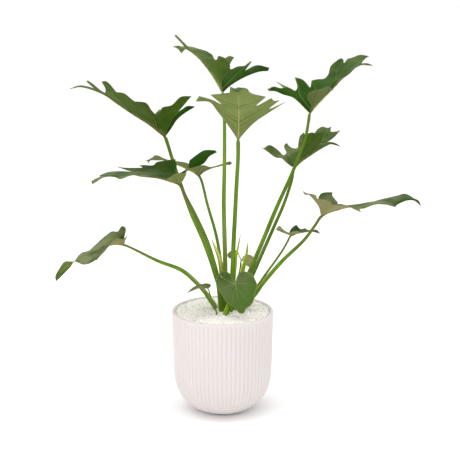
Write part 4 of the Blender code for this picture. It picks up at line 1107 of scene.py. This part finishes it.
# Leaf 11: juvenile heart-shaped leaf hanging at the front
add_blade(11, (19, 206, -48),
          midrib=[(2, -8, -3), (4, -20, -6), (7, -31, -9), (11, -50, -14)],
          near=[(-2, 3, 2), (-4, 10, 5), (-8, 15, 7), (-13, 18, 8), (-17, 19, 7), (-22, 15, 5),
                (-26, 10, 2), (-29, 4, 0), (-28, -5, -2), (-25, -12, -3), (-21, -17, -4),
                (-17, -25, -5), (-12, -31, -7), (-6, -36, -9), (0, -41, -10), (3, -44, -12),
                (6, -48, -13)],
          far=[(2, 4, 2), (3, 9, 4), (6, 14, 6), (9, 17, 7), (14, 18, 7), (18, 17, 6), (24, 15, 5),
               (28, 12, 3), (31, 5, 1), (34, -2, -1), (33, -11, -3), (30, -20, -5), (30, -26, -7),
               (27, -33, -8), (23, -38, -10), (18, -40, -11), (16, -44, -12), (14, -49, -13)],
          near_side=-1, under=(0.5, 0.5), sheen=(0.3, 0.0), young=1.0,
          scars=[(-22, 11, 3, 1.1), (-20, 9, 3, 1.2), (-18, 8, 3, 1.2), (-15, 6, 3, 1.2),
                 (-27, 5, 1, 1.2)],
          **SMALL_LEAF)
# Leaf 12: small, low left at the front
add_blade(12, (-23, 197, -33),
          midrib=[(-12, 3, -3), (-24, -2, -6), (-33, -8, -8)],
          near=[(3, 1, -6), (-4, 0, -14), (-14, 0, -18), (-24, -4, -16)],
          far=[(5, 4, 6), (0, 8, 14), (-12, 6, 16), (-24, 1, 8)],
          near_side=1, under=(0.5, 0.5), sheen=(0.6, 0.5), young=0.6, **SMALL_LEAF)
# Leaves 13 and 14: two small round leaves at the back
add_blade(13, (25, 254, 45),
          midrib=[(-7, 0, 0), (-18, -4, 4)],
          near=[(-2, 3, -5), (-5, 5, -6), (-12, 4, -8), (-17, 0, -7)],
          far=[(-4, -6, 5), (-11, -9, 7), (-16, -8, 5)],
          near_side=1, under=(0.2, 0.2), sheen=(0.3, 0.3), young=0.3, **SMALL_LEAF)
add_blade(14, (30, 243, 52),
          midrib=[(7, -1, 0), (14, -2, 2), (21, -2, 3)],
          near=[(2, 6, -4), (5, 8, -6), (11, 9, -9), (15, 8, -9), (20, 4, -7)],
          far=[(3, -5, 3), (8, -10, 5), (13, -12, 5), (18, -9, 4)],
          near_side=-1, under=(0.0, 0.0), sheen=(0.3, 0.3), young=0.9, **SMALL_LEAF)


# Leaf stalks
# Long smooth juicy stalks, round with a shallow channel along the inner face, thicker and
# sheathed where they leave the crown, and a little swollen and browner just under the blade.

SOIL_TOP = 140.0
STALK_START = SOIL_TOP + 0.3
STALK_RISE = 5.0
STALK_SIDES = 16
STALK_STEP = 5.0
STALK_POINT = 0.5
CHANNEL_DEPTH = 0.14
CHANNEL_WIDTH = 0.45
PLANT_MIDDLE = (0.0, 6.0)
STALK_LIGHT, STALK_DARK = (0.095, 0.200, 0.006), (0.050, 0.130, 0.003)
PALE_LIGHT, PALE_DARK = (0.215, 0.360, 0.030), (0.125, 0.250, 0.010)
STALK_OLIVE = (0.130, 0.115, 0.030)
STALK_FOOT = (0.110, 0.225, 0.009)
FLANK_PAINTED_SHADE = (0.030, 0.095, 0.002)
CHANNEL_LIP = (0.60, 0.56, 0.22)

stalk_look, tree, shader = new_material("stalk_green_fine")
height, olive, flank, lip, pale = (
    attribute(tree, label) for label in ("height", "olive", "flank", "lip", "pale"))
tone = drifting(tree, object_place(tree, along=0.08), blended(tree, pale, STALK_LIGHT, PALE_LIGHT),
                blended(tree, pale, STALK_DARK, PALE_DARK), scale=140.0, speck_scale=700.0,
                speck=0.6)
# Painted shade darkens the flanks that face left and right.
aged = coated(tree, blended(tree, olive, tone["Color"], STALK_OLIVE),
              (STALK_FOOT, height, 0.18, 0.0, 0.6), (FLANK_PAINTED_SHADE, flank, 0.5, 0.95, 0.55))
surfaced(tree, shader, blended(tree, lip, aged, CHANNEL_LIP), tone, roughness=(0.45, 0.6),
         bump=(0.12, 0.0005))
shader.inputs["Specular IOR Level"].default_value = 0.07


def rising(foot, way):
    """The path from the crown, up through the gravel, and on along a way listed from the top.

    foot is where it stands on the crown as (across, deep), and after that where it leaves the
    gravel, if that is elsewhere.
    """
    low = np.array((*foot[:2], STALK_START))
    high = np.array((*foot[-2:], GRAVEL_TOP + STALK_RISE))
    return [low, low + (high - low) * 0.8, high] + [np.array(seen(*p)) for p in reversed(way)]


def rod(name, look, path, girth, sides, step, channel, facing):
    """A rod along path with a channel down one face; girth has its radius at shares of its length.

    With the piece come the share and the turn round the rod at which each of its points lies.
    """
    line = curve(path, step)
    lengths = np.cumsum([0.0] + [float(np.linalg.norm(q - p)) for p, q in zip(line, line[1:])])
    share = lengths / lengths[-1]
    widths = np.interp(share, list(girth), list(girth.values()))
    side = np.array(facing, float)
    points = []
    for i, centre in enumerate(line):
        ahead = line[min(i + 1, len(line) - 1)] - line[max(i - 1, 0)]
        ahead = ahead / np.linalg.norm(ahead)
        side = side - ahead * float(side @ ahead)
        side = side / np.linalg.norm(side)
        other = np.cross(ahead, side)
        for k in range(sides):
            turn = 2 * math.pi * k / sides
            away = min(turn, 2 * math.pi - turn)
            reach = widths[i] * (1.0 - channel * math.exp(-(away / CHANNEL_WIDTH) ** 2))
            points.append(centre + reach * (math.cos(turn) * side + math.sin(turn) * other))
    turns = np.tile(2 * math.pi * np.arange(sides) / sides, len(line))
    return mesh_object(name, points, tube(len(line), sides), look), np.repeat(share, sides), turns


def add_stalk(number, way, radii, foot, olive, pale=(0.5, 0.5), sheath=0.2, tuck=0.4):
    """A stalk from its foot on the crown up to its blade; way is listed from the top down.

    olive is how brown it is low down and at the top, pale how light its green is there, and
    sheath how pale its channel's lips are low down, where it wrapped the next leaf. tuck is how
    far below the blade its middle ends. Painted shade makes its flanks darker than its front and
    back.
    """
    joint, rib_point, rib_normal = JOINTS[number]
    path = rising(foot, way) + [joint - rib_normal * tuck, rib_point - rib_normal * (tuck + 0.3)]
    inner = (PLANT_MIDDLE[0] - path[-3][0], PLANT_MIDDLE[1] - path[-3][1], 0.0)
    thick, thin = radii
    girth = {0.0: thick * 1.06, 0.1: thick * 0.98, 0.5: thick * 0.8, 0.93: thin * 0.98,
             0.965: thin * 1.08, 1.0: STALK_POINT}
    stalk, share, turns = rod(f"stalk_{number}", stalk_look, path, girth, STALK_SIDES, STALK_STEP,
                              CHANNEL_DEPTH, inner)
    away = np.minimum(turns, 2 * math.pi - turns)
    fading = np.interp(share, [0.42, 0.5], [1.0, 0.0])
    outward = np.array([v.normal for v in stalk.data.vertices])
    set_values(stalk, "height", share)
    set_values(stalk, "olive", np.interp(share, [0.55, 1.0], olive))
    set_values(stalk, "pale", along_rib(share, pale))
    set_values(stalk, "flank", np.abs(outward[:, 0]))
    set_values(stalk, "lip", sheath * fading * np.exp(-((away - 0.7) / 0.5) ** 2))
    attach(stalk, "root")
    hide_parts(f"leaf_{number}_stalk")


add_stalk(1, [(3, 465, 20), (3, 385, 14), (2, 333, 13), (3, 283, 12), (4, 239, 12)],
          radii=(4.1, 2.4), foot=(4, 13), olive=(0.0, 0.0), pale=(0.3, 0.9))
add_stalk(2, [(24, 408, -29), (21, 349, -25), (19, 307, -21), (17, 267, -18), (16, 233, -16)],
          radii=(4.2, 2.9), foot=(13, -9), olive=(0.0, 0.1), pale=(0.4, 0.5))
add_stalk(3, [(-83, 424, 22), (-76, 400, 23), (-57.3, 343, 20), (-47, 314, 15), (-30.2, 275, 10),
              (-18, 241, 6), (-11, 218, 4)],
          radii=(4.0, 2.7), foot=(5, 1), olive=(0.0, 0.4))
add_stalk(4, [(131, 463, -14), (126, 433, -13), (116, 405, -11), (105, 376, -8), (85, 330, -5),
              (63, 275, -1), (48, 238, 1)],
          radii=(4.2, 2.3), foot=(20, 4), olive=(0.0, 0.2), pale=(0.3, 0.1), sheath=0.3)
add_stalk(5, [(106, 368, 48), (94, 330, 43), (81, 299, 37), (71, 275, 32), (54.4, 236, 25)],
          radii=(3.6, 2.4), foot=(28, 15), olive=(0.1, 0.4), pale=(0.2, 0.1))
add_stalk(6, [(-57, 344, -52), (-42, 314, -45), (-25, 275, -35), (-15, 243, -27), (-9, 218, -21)],
          radii=(4.0, 2.4), foot=(-2, -10), olive=(0.15, 0.9), pale=(0.25, 0.35))
add_stalk(7, [(-23, 330, 80), (-8, 273, 60)],
          radii=(3.2, 2.1), foot=(4, 26), olive=(0.0, 0.2), pale=(0.35, 0.35))
add_stalk(8, [(-101, 241, -16), (-64, 226, -12), (-41, 206, -6), (-28, 191, -1), (-18, 176, 2)],
          radii=(4.3, 1.8), foot=(-11, 5, -12, 6), olive=(0.0, 0.6), pale=(0.7, 0.5), sheath=0.9)
add_stalk(9, [(144, 299, -29), (127, 275, -25), (95, 243, -19), (63, 205, -10), (50, 186, -6)],
          radii=(4.2, 2.3), foot=(27, -6, 30, -6), olive=(0.0, 0.8), pale=(0.5, 0.3), sheath=0.6)
add_stalk(10, [(102, 274, 29), (94, 259, 28), (72, 226, 24), (56, 202, 20)],
          radii=(2.5, 1.7), foot=(35, 8, 37, 8), olive=(0.1, 0.4))
add_stalk(11, [(17, 200, -36), (13, 184, -28)],
          radii=(2.4, 1.6), foot=(8, -22, 8, -23), olive=(0.0, 0.1), tuck=1.6)
add_stalk(12, [(-20, 187, -31), (-15, 169, -28)],
          radii=(1.5, 0.9), foot=(-9, -25, -9, -26), olive=(0.0, 0.1), tuck=0.9)
add_stalk(13, [(26, 249, 45), (29, 243, 44), (28, 237, 44), (27, 227, 43)],
          radii=(1.4, 0.8), foot=(14, 32, 14, 33), olive=(0.1, 0.3))
add_stalk(14, [(29, 235, 51), (28, 225, 50)],
          radii=(1.1, 0.6), foot=(23, 33, 23, 34), olive=(0.2, 0.4))


# Sheath shoots
# Papery pointed sheaths that wrapped the youngest leaves: yellow-green spikes with a cream
# inner face, browning at the tip, standing among the stalks.

SHEATH_SIDES = 14
SHEATH_STEP = 4.0
SHEATH_POINT = 0.4
SHEATH_CHANNEL = 0.15
SHEATH_LIGHT = (0.38, 0.50, 0.020)
SHEATH_DARK = (0.24, 0.39, 0.004)
SHEATH_CREAM = (0.90, 0.88, 0.28)
SHEATH_FOOT = (0.21, 0.34, 0.025)
SHEATH_BROWN = (0.35, 0.22, 0.08)

shoot_look, tree, shader = new_material("shoot_green_fine")
tone = drifting(tree, object_place(tree, along=0.1), SHEATH_LIGHT, SHEATH_DARK, scale=150.0,
                speck_scale=700.0, speck=0.5)
papery = coated(tree, tone["Color"], (SHEATH_CREAM, attribute(tree, "face"), 0.2, 0.8, 0.75),
                (SHEATH_FOOT, attribute(tree, "height"), 0.35, 0.05, 1.0))
surfaced(tree, shader, blended(tree, attribute(tree, "brown"), papery, SHEATH_BROWN), tone,
         roughness=(0.42, 0.58), bump=(0.12, 0.0005))
shader.inputs["Specular IOR Level"].default_value = 0.08


def add_sheath(number, way, foot, radii, pale_side, browning, ripe=1.0):
    """A sheath, its way listed from the tip down, with its cream face turned to pale_side.

    browning is how brown its tip is, and ripe how far its foot's green has turned yellow.
    """
    low, high = radii
    girth = {0.167: low, 0.333: high, 0.667: high, 0.833: high * 0.66, 0.93: high * 0.42,
             1.0: SHEATH_POINT}
    shoot, share, turns = rod(f"sheath_{number}", shoot_look, rising(foot, way), girth,
                              SHEATH_SIDES, SHEATH_STEP, SHEATH_CHANNEL, pale_side)
    set_values(shoot, "height", share * ripe)
    set_values(shoot, "face", np.cos(turns))
    set_values(shoot, "brown", browning * np.clip((share - 0.86) / 0.12, 0.0, 1.0))
    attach(shoot, "root")
    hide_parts(f"shoot_{number}")


add_sheath(1, [(-17, 276, 12), (-12, 264, 13), (-7, 251, 15), (-4, 241, 16), (-2, 226, 18)],
           foot=(-4, 22), radii=(3.4, 3.8), pale_side=(0.75, -0.66, 0.0), browning=0.4)
add_sheath(2, [(28, 284, 4), (26, 273, 3), (23, 258, 1), (21, 245, 0), (17, 200, -2)],
           foot=(12, 3), radii=(2.4, 2.5), pale_side=(-1.0, 0.3, 0.0), browning=0.2, ripe=0.4)
add_sheath(3, [(39, 270, 22), (38, 259, 22), (36, 246, 23), (33, 234, 24), (31, 226, 25)],
           foot=(24, 28), radii=(3.4, 3.9), pale_side=(-1.0, 0.05, 0.0), browning=0.5)
add_sheath(4, [(7, 172, -30), (6, 164, -29)],
           foot=(4, -28), radii=(4.0, 3.9), pale_side=(-1.0, 0.1, 0.0), browning=0.0, ripe=0.12)
